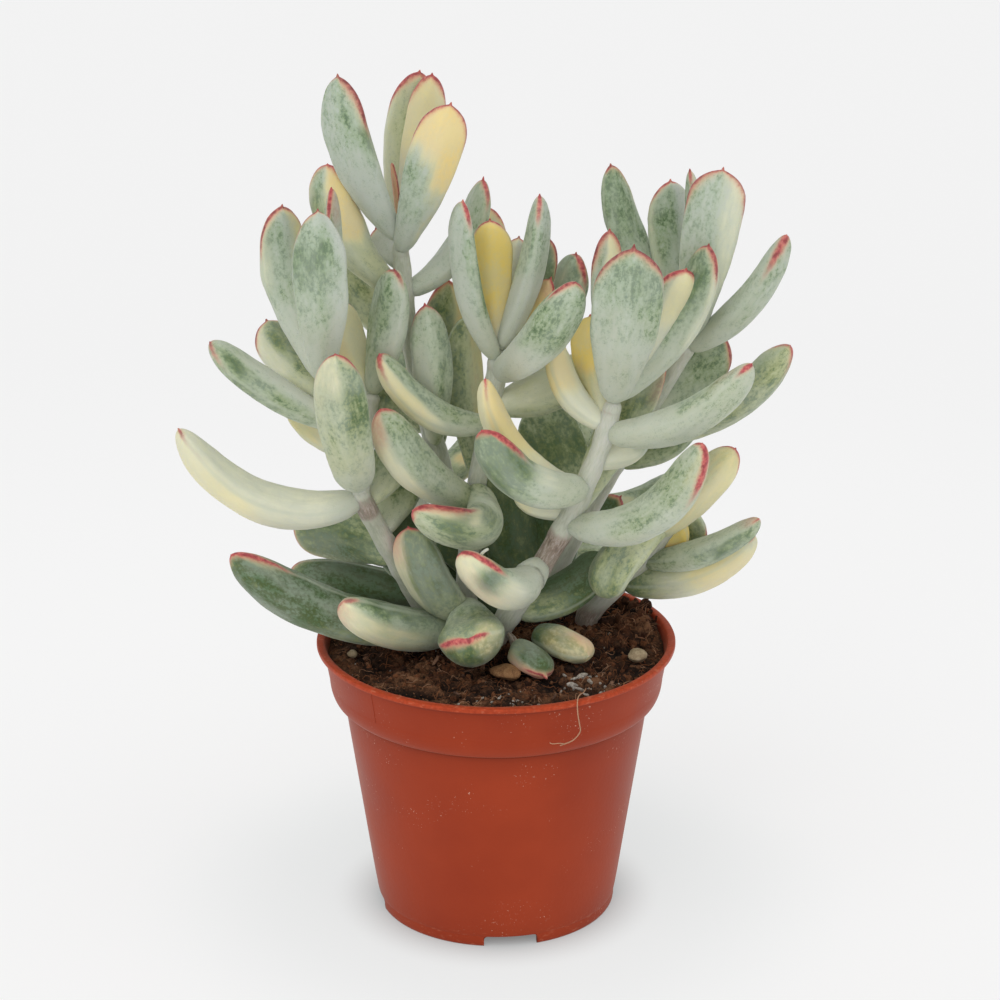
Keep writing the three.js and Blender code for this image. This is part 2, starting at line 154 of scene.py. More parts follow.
def lattice(x, y, z, seed):
    """A repeatable random value from 0 to 1 for each whole-numbered place."""
    with np.errstate(over="ignore"):
        mixed = x.astype(np.uint32) * np.uint32(374761393) + y.astype(np.uint32) * np.uint32(668265263)
        mixed = mixed + z.astype(np.uint32) * np.uint32(1274126177) + np.uint32(seed * 7919 + 17)
        mixed = (mixed ^ (mixed >> np.uint32(13))) * np.uint32(1103515245)
        mixed = (mixed ^ (mixed >> np.uint32(15))) * np.uint32(2654435761)
    return (mixed ^ (mixed >> np.uint32(16))).astype(float) / 4294967295.0


def ripple(places, size, seed, octaves=1):
    """Smooth random values from -1 to 1 over space, with features of the given size."""
    places = np.asarray(places, float)
    total = np.zeros(places.shape[:-1])
    reach = 0
    for octave in range(octaves):
        scaled = places / (size / 2**octave)
        cell = np.floor(scaled).astype(np.int64)
        part = scaled - cell
        part = part * part * (3 - 2 * part)
        value = np.zeros(places.shape[:-1])
        for corner in range(8):
            step = np.array([corner & 1, corner >> 1 & 1, corner >> 2 & 1])
            weight = np.prod(np.where(step, part, 1 - part), axis=-1)
            here = cell + step
            value += weight * lattice(here[..., 0], here[..., 1], here[..., 2], seed + octave)
        total += (2 * value - 1) / 2**octave
        reach += 1 / 2**octave
    return total / reach


def bezier(controls, t):
    """Places and directions along a curve with three or four control points."""
    controls = np.asarray(controls, float)
    t = np.asarray(t, float)[..., None]
    order = len(controls) - 1
    place = sum(
        math.comb(order, i) * (1 - t) ** (order - i) * t**i * controls[i] for i in range(order + 1)
    )
    steps = np.diff(controls, axis=0)
    slope = sum(
        math.comb(order - 1, i) * (1 - t) ** (order - 1 - i) * t**i * steps[i] for i in range(order)
    )
    return place, unit(slope)


def about_z(angle):
    """The matrix of a turn about the vertical."""
    return np.array([[math.cos(angle), -math.sin(angle), 0], [math.sin(angle), math.cos(angle), 0], [0, 0, 1]])


def circles(side, out, turn):
    """Directions round a line, for each of its points and each angle."""
    return side[:, None] * np.sin(turn)[None, :, None] + out[:, None] * np.cos(turn)[None, :, None]


def grid_faces(rings, sides):
    """The faces of a closed tube of rings, with a middle point after the last ring for each end."""
    i, j = np.meshgrid(np.arange(rings - 1), np.arange(sides), indexing="ij")
    k = (j + 1) % sides
    quads = np.stack([i * sides + j, i * sides + k, (i + 1) * sides + k, (i + 1) * sides + j], -1)
    faces = quads.reshape(-1, 4).tolist()
    last = (rings - 1) * sides
    for j in range(sides):
        k = (j + 1) % sides
        faces.append([rings * sides, k, j])
        faces.append([rings * sides + 1, last + j, last + k])
    return faces


def tube_points(rings):
    """Flattens an array of rings and adds the middle of the first and of the last one."""
    sides = rings.shape[1]
    ends = np.stack([rings[0].mean(axis=0), rings[-1].mean(axis=0)])
    return np.concatenate([rings.reshape(-1, rings.shape[2]), ends]), grid_faces(rings.shape[0], sides)


class Shells:
    """Gathers closed shells and the values painted on their points, and makes one mesh object of them."""

    def __init__(self, *values):
        self.values = {name: [] for name in values}
        self.points = []
        self.faces = []
        self.count = 0

    def add(self, points, faces, **values):
        corners = np.array([[face[0], face[1], face[-1]] for face in faces])
        a, b, c = points[corners[:, 0]], points[corners[:, 1]], points[corners[:, 2]]
        inside_out = np.einsum("ij,ij->", a - points.mean(axis=0), np.cross(b - a, c - a)) < 0
        for face in faces:
            shifted = [corner + self.count for corner in face]
            self.faces.append(shifted[::-1] if inside_out else shifted)
        self.points.append(points)
        for name, store in self.values.items():
            store.append(np.broadcast_to(values.get(name, 0.0), (len(points), 4)).astype(np.float32))
        self.count += len(points)

    def build(self, name, material, sharp_angle=None):
        mesh = bpy.data.meshes.new(name)
        points = np.concatenate(self.points) * MM + POT_AXIS
        mesh.from_pydata(points.tolist(), [], self.faces)
        for value, store in self.values.items():
            layer = mesh.attributes.new(value, "FLOAT_COLOR", "POINT")
            layer.data.foreach_set("color", np.concatenate(store).ravel())
        mesh.polygons.foreach_set("use_smooth", np.ones(len(mesh.polygons), bool))
        if sharp_angle:
            mesh.set_sharp_from_angle(angle=math.radians(sharp_angle))
        mesh.materials.append(material)
        mesh.update()
        made = bpy.data.objects.new(name, mesh)
        bpy.context.scene.collection.objects.link(made)
        return made


def dress(piece, slot, *nodes):
    """Makes a piece part of the object: it rides on the one body and stands for its CAD nodes."""
    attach(piece, "root")
    if nodes:
        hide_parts(*nodes)


def linear(red, green, blue):
    """A colour from its everyday 0 to 255 values."""
    channels = [channel / 255 for channel in (red, green, blue)]
    return tuple(c / 12.92 if c <= 0.04045 else ((c + 0.055) / 1.055) ** 2.4 for c in channels) + (1.0,)


class Shader:
    """A material under construction. Inputs may be numbers, colours or the outputs of other nodes."""

    def __init__(self, name):
        self.material = bpy.data.materials.new(name)
        self.material.use_nodes = True
        self.tree = self.material.node_tree
        self.tree.nodes.clear()

    def add(self, kind, **settings):
        node = self.tree.nodes.new(kind)
        for setting, value in settings.items():
            setattr(node, setting, value)
        return node

    def feed(self, socket, value):
        if isinstance(value, bpy.types.NodeSocket):
            self.tree.links.new(value, socket)
        elif value is not None:
            socket.default_value = value

    def painted(self, name):
        """The four values painted on the points under a name."""
        source = self.add("ShaderNodeAttribute", attribute_name=name)
        split = self.add("ShaderNodeSeparateColor")
        self.feed(split.inputs[0], source.outputs["Color"])
        return *split.outputs, source.outputs["Alpha"]

    def place_and_fourth(self, name):
        """The first three painted values as a place, and the fourth."""
        source = self.add("ShaderNodeAttribute", attribute_name=name)
        return source.outputs["Vector"], source.outputs["Alpha"]

    def object_place(self, scale=(1, 1, 1)):
        return self.scaled(self.add("ShaderNodeTexCoord").outputs["Object"], scale)

    def scaled(self, vector, scale):
        node = self.add("ShaderNodeMapping")
        self.feed(node.inputs["Vector"], vector)
        node.inputs["Scale"].default_value = scale
        return node.outputs[0]

    def noise(self, vector, scale, detail=2.0, roughness=0.5, distortion=0.0):
        node = self.add("ShaderNodeTexNoise")
        self.feed(node.inputs["Vector"], vector)
        node.inputs["Scale"].default_value = scale
        node.inputs["Detail"].default_value = detail
        node.inputs["Roughness"].default_value = roughness
        node.inputs["Distortion"].default_value = distortion
        return node.outputs["Fac"]

    def math(self, operation, a, b):
        node = self.add("ShaderNodeMath", operation=operation)
        for socket, value in zip(node.inputs, (a, b)):
            self.feed(socket, value)
        return node.outputs[0]

    def plus(self, *values):
        total = values[0]
        for value in values[1:]:
            total = self.math("ADD", total, value)
        return total

    def times(self, *values):
        product = values[0]
        for value in values[1:]:
            product = self.math("MULTIPLY", product, value)
        return product

    def span(self, value, low, high, start=0.0, end=1.0):
        """Smoothly from start where the value is low to end where it is high."""
        node = self.add("ShaderNodeMapRange", interpolation_type="SMOOTHSTEP")
        for socket, given in zip(node.inputs, (value, low, high, start, end)):
            self.feed(socket, given)
        return node.outputs[0]

    def blend(self, share, a, b):
        node = self.add("ShaderNodeMix", data_type="RGBA")
        self.feed(node.inputs[0], share)
        self.feed(node.inputs[6], a)
        self.feed(node.inputs[7], b)
        return node.outputs[2]

    def ramp(self, value, *stops):
        """A colour for the value. Each stop is its place and its red, green and blue from 0 to 255."""
        node = self.add("ShaderNodeValToRGB")
        elements = node.color_ramp.elements
        while len(elements) < len(stops):
            elements.new(0.5)
        for element, (position, *colour) in zip(elements, stops):
            element.position = position
            element.color = linear(*colour)
        self.feed(node.inputs[0], value)
        return node.outputs[0]

    def bump(self, height, distance, strength=1.0):
        node = self.add("ShaderNodeBump")
        self.feed(node.inputs["Height"], height)
        node.inputs["Distance"].default_value = distance
        node.inputs["Strength"].default_value = strength
        return node.outputs[0]

    def finish(self, colour, roughness, normal=None, **constants):
        shader = self.add("ShaderNodeBsdfPrincipled")
        self.feed(shader.inputs["Base Color"], colour)
        self.feed(shader.inputs["Roughness"], roughness)
        self.feed(shader.inputs["Normal"], normal)
        for name, value in constants.items():
            shader.inputs[name.replace("_", " ")].default_value = value
        output = self.add("ShaderNodeOutputMaterial")
        self.tree.links.new(shader.outputs[0], output.inputs[0])
        return self.material


# Leaf and stem material


def leaf_material(name):
    """Waxy leaf skin with a powdery bloom, and pale corky stem skin, told apart by the painted values."""
    s = Shader(name)
    place, ripe = s.place_and_fourth("place")
    cream, yellow, green, blush = s.painted("tone")
    rim, rim_width, olive, scar = s.painted("mark")
    stem, wood, bloom, edge = s.painted("skin")

    along = s.scaled(place, (1.0, 0.45, 1.0))
    cloud = s.noise(along, 0.16, 2.0)
    patchy = s.plus(s.noise(along, 0.5, 3.0, 0.55), -0.5)
    mottle = s.noise(s.scaled(place, (1.0, 0.7, 1.0)), 1.15, 4.0, 0.6)
    uneven = s.plus(mottle, -0.5)
    stripe = s.plus(s.noise(s.scaled(place, (1.3, 0.12, 1.3)), 0.6, 3.0, 0.5), -0.5)
    speck = s.noise(place, 3.4, 3.0, 0.6)

    # green skin, from blue-grey bloom to bare dark green, and warmer where it is olive
    lively = s.span(green, 0.0, 0.5, 0.3, 1.0)
    changes = s.plus(s.times(patchy, 0.74), s.times(uneven, 0.84), s.times(stripe, 0.34))
    depth = s.plus(green, s.times(changes, lively))
    cool = s.ramp(
        depth,
        (0.0, 189, 194, 187),
        (0.25, 177, 189, 174),
        (0.5, 153, 173, 142),
        (0.75, 105, 129, 92),
        (1.0, 64, 90, 52),
    )
    warm = s.ramp(
        depth,
        (0.0, 204, 206, 170),
        (0.35, 180, 187, 143),
        (0.7, 126, 140, 90),
        (1.0, 74, 92, 48),
    )
    colour = s.blend(olive, cool, warm)

    # dark green spots and small freckles where the bloom is thin
    spot = s.span(s.plus(mottle, s.times(patchy, 0.6), s.times(green, 0.1)), 0.58, 0.7)
    colour = s.blend(s.times(spot, s.span(green, 0.05, 0.6, 0.08, 0.62)), colour, linear(88, 118, 80))
    freckle = s.span(s.plus(speck, s.times(patchy, 0.4), s.times(uneven, 0.3)), 0.6, 0.66)
    colour = s.blend(s.times(freckle, s.span(green, 0.0, 0.6, 0.3, 0.7)), colour, linear(84, 104, 74))

    # cream and yellow parts, with softly torn borders
    border = s.times(cream, s.math("SUBTRACT", 1.0, cream), 4.0)
    torn = s.plus(s.times(patchy, 0.75), s.times(uneven, 0.45), s.times(stripe, 0.6))
    share = s.plus(cream, s.times(border, torn))
    pale = s.ramp(
        s.plus(yellow, s.times(s.plus(cloud, -0.5), 0.25)),
        (0.0, 230, 229, 202),
        (0.25, 236, 226, 174),
        (0.5, 238, 212, 140),
        (0.75, 250, 220, 108),
        (1.0, 238, 190, 74),
    )
    colour = s.blend(s.span(share, 0.05, 1.0, 0.0, 0.94), colour, pale)

    # powdery bloom, rubbed here and there, and a painted highlight: a paler line along the margin
    rubbed = s.span(s.plus(s.times(cloud, 0.7), s.times(mottle, 0.3)), 0.36, 0.6)
    colour = s.blend(s.times(bloom, rubbed), colour, linear(204, 211, 202))
    colour = s.blend(s.span(edge, 0.15, 0.9, 0.35, 0.0), colour, linear(194, 202, 182))

    # a blush, a pale halo along the margin, and the red margin itself
    colour = s.blend(s.times(blush, s.span(mottle, 0.3, 0.6, 0.6, 1.0)), colour, linear(208, 132, 116))
    wander = s.plus(s.times(uneven, 1.2), s.times(patchy, 1.0), s.times(s.plus(speck, -0.5), 0.9))
    reach = s.plus(edge, s.times(wander, s.plus(s.times(rim_width, 0.9), 0.1)))
    width = s.times(rim_width, s.plus(s.times(rim, 0.95), 0.25))
    halo = s.span(reach, 0.0, s.plus(s.times(width, 2.8), 0.9), 0.65, 0.0)
    colour = s.blend(s.times(halo, rim), colour, linear(224, 200, 156))
    flush = s.span(reach, s.times(width, 0.5), s.plus(s.times(width, 2.0), 0.3), 0.7, 0.0)
    colour = s.blend(s.times(flush, rim), colour, linear(208, 124, 110))
    line = s.times(s.span(reach, s.times(width, 0.3), s.times(width, 1.4), 0.92, 0.0), s.span(rim, 0.02, 0.6))
    tint = s.noise(place, 0.8, 2.0)
    dark_red = s.ramp(tint, (0.35, 112, 44, 50), (0.5, 142, 68, 68), (0.68, 180, 112, 100))
    bright_red = s.ramp(tint, (0.35, 150, 40, 56), (0.5, 186, 66, 78), (0.68, 216, 118, 108))
    colour = s.blend(line, colour, s.blend(ripe, dark_red, bright_red))

    # brown scars
    colour = s.blend(s.span(s.plus(speck, scar), 1.0, 1.25), colour, linear(96, 72, 54))

    # stems: pale and waxy above, brown and corky below; the dark brown at a stem's foot is partly painted shade
    cork = s.noise(s.scaled(place, (1.6, 0.35, 1.6)), 1.1, 4.0, 0.7)
    waxy = s.ramp(
        s.plus(s.times(cloud, 0.5), s.times(cork, 0.5)),
        (0.32, 170, 175, 154),
        (0.5, 198, 201, 186),
        (0.68, 216, 214, 206),
    )
    corky = s.ramp(
        cork,
        (0.32, 108, 92, 80),
        (0.48, 148, 132, 119),
        (0.62, 184, 172, 162),
    )
    bark = s.blend(s.span(s.plus(wood, s.times(s.plus(cork, -0.5), 1.1)), 0.25, 0.75), waxy, corky)
    colour = s.blend(stem, colour, bark)

    roughness = s.span(s.plus(mottle, s.times(line, -0.2)), 0.25, 0.75, 0.46, 0.66)
    grain = s.plus(s.times(mottle, 0.5), s.times(speck, 0.35), s.times(cork, stem, 2.2))
    normal = s.bump(grain, 0.00035, 0.45)
    return s.finish(
        colour,
        roughness,
        normal,
        Subsurface_Weight=0.2,
        Subsurface_Radius=(1.0, 0.8, 0.4),
        Subsurface_Scale=0.003,
        Specular_IOR_Level=0.36,
        Sheen_Weight=0.1,
        Sheen_Roughness=0.5,
    )


# Leaves and stems


def width_share(t, neck, widest, blunt):
    """The share of the full width at a place along the leaf."""
    neck = LEAF_NECK + (neck - LEAF_NECK) * np.sqrt(ease(t, 0, 0.18))
    body = neck + (1 - neck) * np.sin(math.pi / 2 * np.minimum(1, t / widest)) ** 1.3
    end = np.maximum(0, t - widest) / (1 - widest)
    return body * np.maximum(0, 1 - np.minimum(1, end) ** 3) ** blunt


def thickness_share(t):
    """The share of the full thickness at a place along the leaf."""
    rise = ROOT_THICKNESS + (1 - ROOT_THICKNESS) * np.sin(math.pi / 2 * np.minimum(1, t / THICKEST_AT))
    fall = 1 - 0.3 * (np.maximum(0, t - THICKEST_AT) / (1 - THICKEST_AT)) ** 1.5
    end = np.sqrt(np.maximum(0, 1 - np.minimum(1, np.maximum(0, t - 0.75) / 0.25) ** 2.8))
    return rise * fall * end


def in_view(right, up, nearer):
    """A direction given as it is seen in the picture: to the right, up, and towards the viewer."""
    return unit(right * VIEW_RIGHT + up * VIEW_UP - nearer * VIEW_AWAY)


VIEW_SIDES = {
    "L": in_view(-1, 0, 0),
    "R": in_view(1, 0, 0),
    "U": in_view(0, 1, 0),
    "D": in_view(0, -1, 0),
    "UL": in_view(-1, 1, 0),
    "UR": in_view(1, 1, 0),
    "DL": in_view(-1, -1, 0),
    "DR": in_view(1, -1, 0),
    "F": in_view(0, 0, 1),
    "B": in_view(0, 0, -1),
}

# What each kind of patch sets or adds in a leaf's paint. Cream and yellow are set, the others add up.
PATCH_KINDS = {
    "cream": dict(cream=1.0, yellow=0.18),
    "pale": dict(cream=0.75, yellow=0.02),
    "yellow": dict(cream=1.0, yellow=0.5),
    "bright": dict(cream=1.0, yellow=0.7),
    "gold": dict(cream=1.0, yellow=0.9),
    "lime": dict(cream=0.5, yellow=0.4),
    "moss": dict(cream=0.0, green=0.7),
    "green": dict(green=0.25),
    "dark": dict(green=0.45),
    "light": dict(green=-0.3),
    "olive": dict(olive=0.8),
    "pink": dict(blush=0.8),
    "scar": dict(scar=0.45),
}
SET_KINDS = ("cream", "yellow")


def leaf_angles():
    """Angles round a leaf's section, closer together near its two margins."""
    share = 1 - (1 - np.arange(LEAF_QUARTER) / LEAF_QUARTER) ** 1.35
    quarter = share * math.pi / 2
    rest = math.pi - quarter[::-1]
    half = np.concatenate([quarter, [math.pi / 2], rest[:-1]])
    return np.concatenate([half, half + math.pi])


ANGLES = leaf_angles()


def leaf_stations():
    """Places along a leaf, closer together near its tip."""
    body = np.linspace(0, 1, LEAF_STATIONS - TIP_STATIONS) ** 0.88 * TIP_FROM
    end = TIP_FROM + (1 - TIP_FROM) * (1 - (1 - np.linspace(0, 1, TIP_STATIONS + 1)[1:]) ** 1.6)
    return np.concatenate([body, end])


STATIONS = leaf_stations()


SKIN_VALUES = ("place", "tone", "mark", "skin")
SEED_SHIFT = np.array([37.0, 91.0, 53.0])


def add_skin(shells, points, place, ripe, tone, mark, skin):
    """Adds a closed tube of rings with the four sets of values that the leaf material reads."""
    grid = points.shape[:2]
    given = (ripe, *tone, *mark, *skin)
    paints = [np.broadcast_to(np.asarray(value, float), grid)[..., None] for value in given]
    whole, faces = tube_points(np.concatenate([points, place, *paints], -1))
    values = {name: whole[:, 4 * i + 3 : 4 * i + 7] for i, name in enumerate(SKIN_VALUES)}
    shells.add(whole[:, :3], faces, **values)


def add_leaf(shells, root, tip, bow, width, thickness, patches=(), rim=USUAL_RIM, ripe=None, green=0.3,
             face=None, neck=LEAF_NECK, widest=WIDEST_AT, point=None, curl=0, plump=None, seed=0):
    """
    One fleshy leaf on a bowed curve from its root to its tip. Each patch is a kind, a stretch of the leaf from
    0 at its root to 1 at its tip, and if it covers one side, that side as seen, how far across it starts, from
    -1 to 1, and its strength. The rim is the red margin: the share of the length where it starts, its width,
    and the side as seen if it has only one. Its red is dull where ripe is 0 and bright where it is 1. A face
    turns the leaf about its length, so that its broad side looks that way, and a curl bends both margins to
    that side. A plump leaf has a rounder section.
    """
    rim_start, rim_width, *rim_side = rim or NO_RIM
    root, tip, bow = (np.asarray(value, float) for value in (root, tip, bow))
    flat = width / thickness > FLAT_FROM
    point = (1.0 if flat else 0.4) if point is None else point
    ripe = (0.25 if flat else 0.85) if ripe is None else ripe
    plump = (0 if flat else 0.45) if plump is None else plump
    controls = [root, (root + tip) / 2 + 2 * bow, tip]
    length = np.linalg.norm(tip - root)
    point_share = np.clip(POINT_LENGTH * point / length, 0.001, 0.06 * max(1, point / 1.6))
    t = STATIONS
    shape_t = np.minimum(1, t / (1 - point_share * 0.8))
    place, along = bezier(controls, t)
    out = unit(bow - along * (along @ bow)[:, None])
    if face:
        facing = in_view(*face)
        turned = unit(facing - along * (along @ facing)[:, None])
        out = turned if np.sum(turned * out) > 0 else -turned
    side = np.cross(along, out)

    # a small point on the end, and a root that closes inside the stem
    beak = POINT_RADIUS * (0.5 + 0.5 * point) * np.clip((1.0 - t) / point_share, 0, 1) ** 0.7 + 0.05
    beak = beak * ease(t, 0.86, 0.95)
    closing = 0.4 + 0.6 * np.sqrt(ease(t, -0.02, 0.09))
    half_width = np.hypot(width / 2 * closing * width_share(shape_t, neck, widest, 0.5 + 0.12 * point), beak)
    depth = thickness * closing * thickness_share(shape_t)
    x, z = np.sin(ANGLES)[None], np.cos(ANGLES)[None]
    corner = 4 * x**2 * z**2 * (1 - plump) * np.minimum(1, 2 * t)[:, None]
    share = np.where(z > 0, OUTER_SHARE, 1 - OUTER_SHARE)
    ridge = ease(t, 0.5, 0.9)[:, None] * np.exp(-((np.abs(x) - 1) / 0.012) ** 2)
    across = x * (1 + 0.08 * corner + 0.02 * ridge) * half_width[:, None]
    sideways = np.stack(np.broadcast_arrays((t * length / 8)[:, None], 5.3 * np.sign(x), 0 * x), -1)
    across = across * (1 + 0.07 * ripple(sideways + seed * 3.1, 1.0, seed + 6) * ease(t, 0.2, 0.5)[:, None])
    outward = z * (1 - 0.22 * corner) * np.hypot(depth[:, None] * share, beak[:, None])
    points = place[:, None] + side[:, None] * across[..., None] + out[:, None] * outward[..., None]

    # the skin is never quite even: long shallow swells, and a margin that waves a little
    local = np.stack([across, np.broadcast_to((t * length)[:, None], across.shape), outward], -1)
    local = local + seed * SEED_SHIFT
    away = unit(across[..., None] * side[:, None] + outward[..., None] * out[:, None])
    swell = 0.028 * thickness * ripple(local * [1, 0.4, 1], 5.0, seed) + 0.08 * ripple(local, 2.1, seed + 9)
    fade = (ease(t, 0, 0.15) * (1 - ease(t, 0.93, 1)))[:, None]
    points = points + away * (swell * fade)[..., None]
    wave = 0.035 * width * ripple(np.stack([t * length / 6, 0 * t, 0 * t], -1) + seed * 7.7, 1.0, seed + 3)
    margin = (np.abs(x) ** 6 * np.sign(x)) * (wave * ease(t, 0.35, 0.8) * (1 - ease(t, 0.93, 1)))[:, None]
    margin = margin * np.sign(x) + curl * x**2 * ease(t, 0.3, 0.9)[:, None]
    points = points + out[:, None] * margin[..., None]

    # paint
    grown = np.broadcast_to(t[:, None], across.shape)
    drift = 0.07 * ripple(local * [1, 0.5, 1], 3.5, seed + 5)

    def towards(name, begins, soft):
        """How much of the leaf lies on the side that is seen towards a named direction."""
        reach = (points - place[:, None]) @ VIEW_SIDES[name]
        reach = reach / (np.abs(reach).max(axis=1, keepdims=True) + 0.2)
        return ease(reach + 1.6 * drift, begins - soft, begins + soft)

    paint = {name: np.zeros(across.shape) for name in ("cream", "yellow", "green", "blush", "olive", "scar")}
    paint["green"] += green * (0.35 + 0.65 * ease(t, 0.2, 0.75))[:, None]
    soft = PATCH_BORDER
    for kind, start, end, *rest in patches:
        cover = ease(grown + drift, start - soft, start + soft) if start > 0 else np.ones(across.shape)
        if end < 1:
            cover = cover * (1 - ease(grown + drift, end - soft, end + soft))
        if rest:
            cover = cover * towards(rest[0], rest[1] if len(rest) > 1 else 0.0, 2.2 * soft)
        strength = rest[2] if len(rest) > 2 else 1.0
        for name, value in PATCH_KINDS[kind].items():
            gap = value - paint[name] if name in SET_KINDS else value
            paint[name] = paint[name] + gap * cover * strength
    # painted shade and painted bounce light: leaves deep inside the plant are painted greener and more olive,
    # with less bloom; all leaves are painted a little more olive, and the lower ones greener and more olive
    # still
    depths = points - [0, 10, 0]
    inner = ease(points[..., 1], -14, 4) * ease(-points[..., 2], -172, -125)
    inner = inner * (1 - ease(np.hypot(depths[..., 0], depths[..., 1]), 38, 60))
    paint["green"] = paint["green"] + 0.45 * inner + 0.18 * ease(-points[..., 2], -122, -98)
    paint["olive"] = paint["olive"] + 0.5 * inner + 0.1 + 0.32 * ease(-points[..., 2], -215, -165)
    edge = np.hypot((1 - np.abs(x)) * half_width[:, None], outward)
    rim_share = ease(grown + drift, rim_start - 0.04, rim_start + 0.26) * (rim_start < 1)
    if rim_side:
        rim_share = rim_share * np.maximum(towards(*rim_side, 0.0, 0.3), 0.8 * ease(grown, 0.94, 0.99))
    # less bloom deep inside the plant, part of the painted shade
    bloom = (0.34 - 0.1 * ease(grown, 0.5, 1)) * (1 - 0.7 * inner)
    add_skin(
        shells, points, local, ripe,
        (paint["cream"], paint["yellow"], paint["green"], np.clip(paint["blush"], 0, 1)),
        (rim_share, rim_width, np.clip(paint["olive"], 0, 1), paint["scar"]),
        (0, 0, bloom, edge),
    )


def stem_line(controls, peg):
    """Even places along a stem, with its straight peg in the soil if it has one, bent smoothly into it."""
    line, _ = bezier(controls, np.linspace(0, 0.985, 200))
    if peg:
        foot = np.asarray(controls[0], float)
        lower = foot + np.outer(np.linspace(PEG_BOTTOM - foot[2], -0.5, 30), [0, 0, 1])
        line = np.concatenate([lower, line])
    run = np.concatenate([[0], np.cumsum(np.linalg.norm(np.diff(line, axis=0), axis=1))])
    even = np.linspace(0, run[-1], STEM_RINGS)
    line = np.stack([np.interp(even, run, line[:, i]) for i in range(3)], -1)
    for _ in range(12):
        line[1:-1] = (line[:-2] + 2 * line[1:-1] + line[2:]) / 4
    peg_length = STEM_START - PEG_BOTTOM if peg else 0
    return line, np.clip((even - peg_length) / (run[-1] - peg_length), 0, 1), run[-1] - peg_length


def add_stem(shells, controls, bottom_radius, top_radius, nodes, wood=0.0, bark=(), peg=False, seed=0):
    """
    A stem on a curve, with a slight swelling where each leaf grows. Each stretch of bark is where it starts and
    ends along the stem, and how brown it is.
    """
    place, t, length = stem_line(controls, peg)
    along = unit(np.gradient(place, axis=0))
    out = unit(STEM_FRONT - along * (along @ STEM_FRONT)[:, None])
    side = np.cross(along, out)
    radius = bottom_radius + (top_radius - bottom_radius) * t
    if peg:
        radius = radius * (1 + 0.08 * (1 - ease(t * length, 0, 7)))
    for node in nodes:
        radius = radius + 0.2 * np.exp(-(((t - node) * length / 2.4) ** 2))
        radius = radius - 0.05 * np.exp(-(((t - node) * length + 2.6) / 0.6) ** 2)
    radius = radius * np.where(t > 0.93, np.sqrt(np.clip(1 - ((t - 0.93) / 0.07) ** 2, 0.02, 1)), 1)
    turn = np.linspace(0, 2 * math.pi, STEM_SIDES, endpoint=False)
    ring = circles(side, out, turn)
    run = np.linspace(0, length, len(t))
    local = np.stack(np.broadcast_arrays(
        radius[:, None] * np.sin(turn), run[:, None], radius[:, None] * np.cos(turn)), -1)
    local = local + seed * SEED_SHIFT
    uneven = 0.14 * ripple(local * [1, 0.3, 1], 1.8, seed, 2) + 0.12 * ripple(local, 5.0, seed + 1)
    points = place[:, None] + ring * (radius[:, None] + uneven)[..., None]
    # a stem is painted brown and dark at its foot in the soil: partly its corky bark, partly painted shade
    woody = wood + 0.6 * ease(-points[..., 2], -91, -83) * peg + 0.2 * ripple(local, 9.0, seed + 2)
    for start, end, brown in bark:
        stretch = ease(t, start - 0.05, start + 0.05) * (1 - ease(t, end - 0.05, end + 0.05))
        woody = woody + brown * stretch[:, None]
    for node in nodes:
        woody = woody + 0.15 * np.exp(-(((t - node) * length + 2.4) / 0.8) ** 2)[:, None]
    add_skin(shells, points, local, 0, (0, 0, 0, 0), (0, 0, 0, 0), (1, np.clip(woody, 0, 1), 0.3, 9))


class Shoot:
    """One leafy shoot: its stems and leaves, gathered as closed shells."""

    def __init__(self, seed):
        self.shells = Shells(*SKIN_VALUES)
        self.seed = seed
        self.stems = []

    def stem(self, start, guides, bottom_radius, top_radius, **looks):
        controls = [np.asarray(point, float) for point in (start, *guides)]
        made = dict(controls=controls, radii=(bottom_radius, top_radius), looks=looks, nodes=[])
        self.stems.append(made)
        return made

    def standing(self, x, y, guides, bottom_radius, top_radius, **looks):
        return self.stem([x, y, STEM_START], guides, bottom_radius, top_radius, peg=True, **looks)

    def leaf(self, stem, share, tip, bow, width, thickness, *patches, **looks):
        self.seed += 1
        root, _ = bezier(stem["controls"], [share])
        stem["nodes"].append(share)
        add_leaf(self.shells, root[0], tip, bow, width, thickness, patches, seed=self.seed, **looks)

    def build(self, node, slot):
        for stem in self.stems:
            self.seed += 1
            add_stem(self.shells, stem["controls"], *stem["radii"], stem["nodes"], seed=self.seed,
                     **stem["looks"])
        dress(self.shells.build(f"{node}_fine", leaf_material(slot)), slot, node)


# The nine shoots


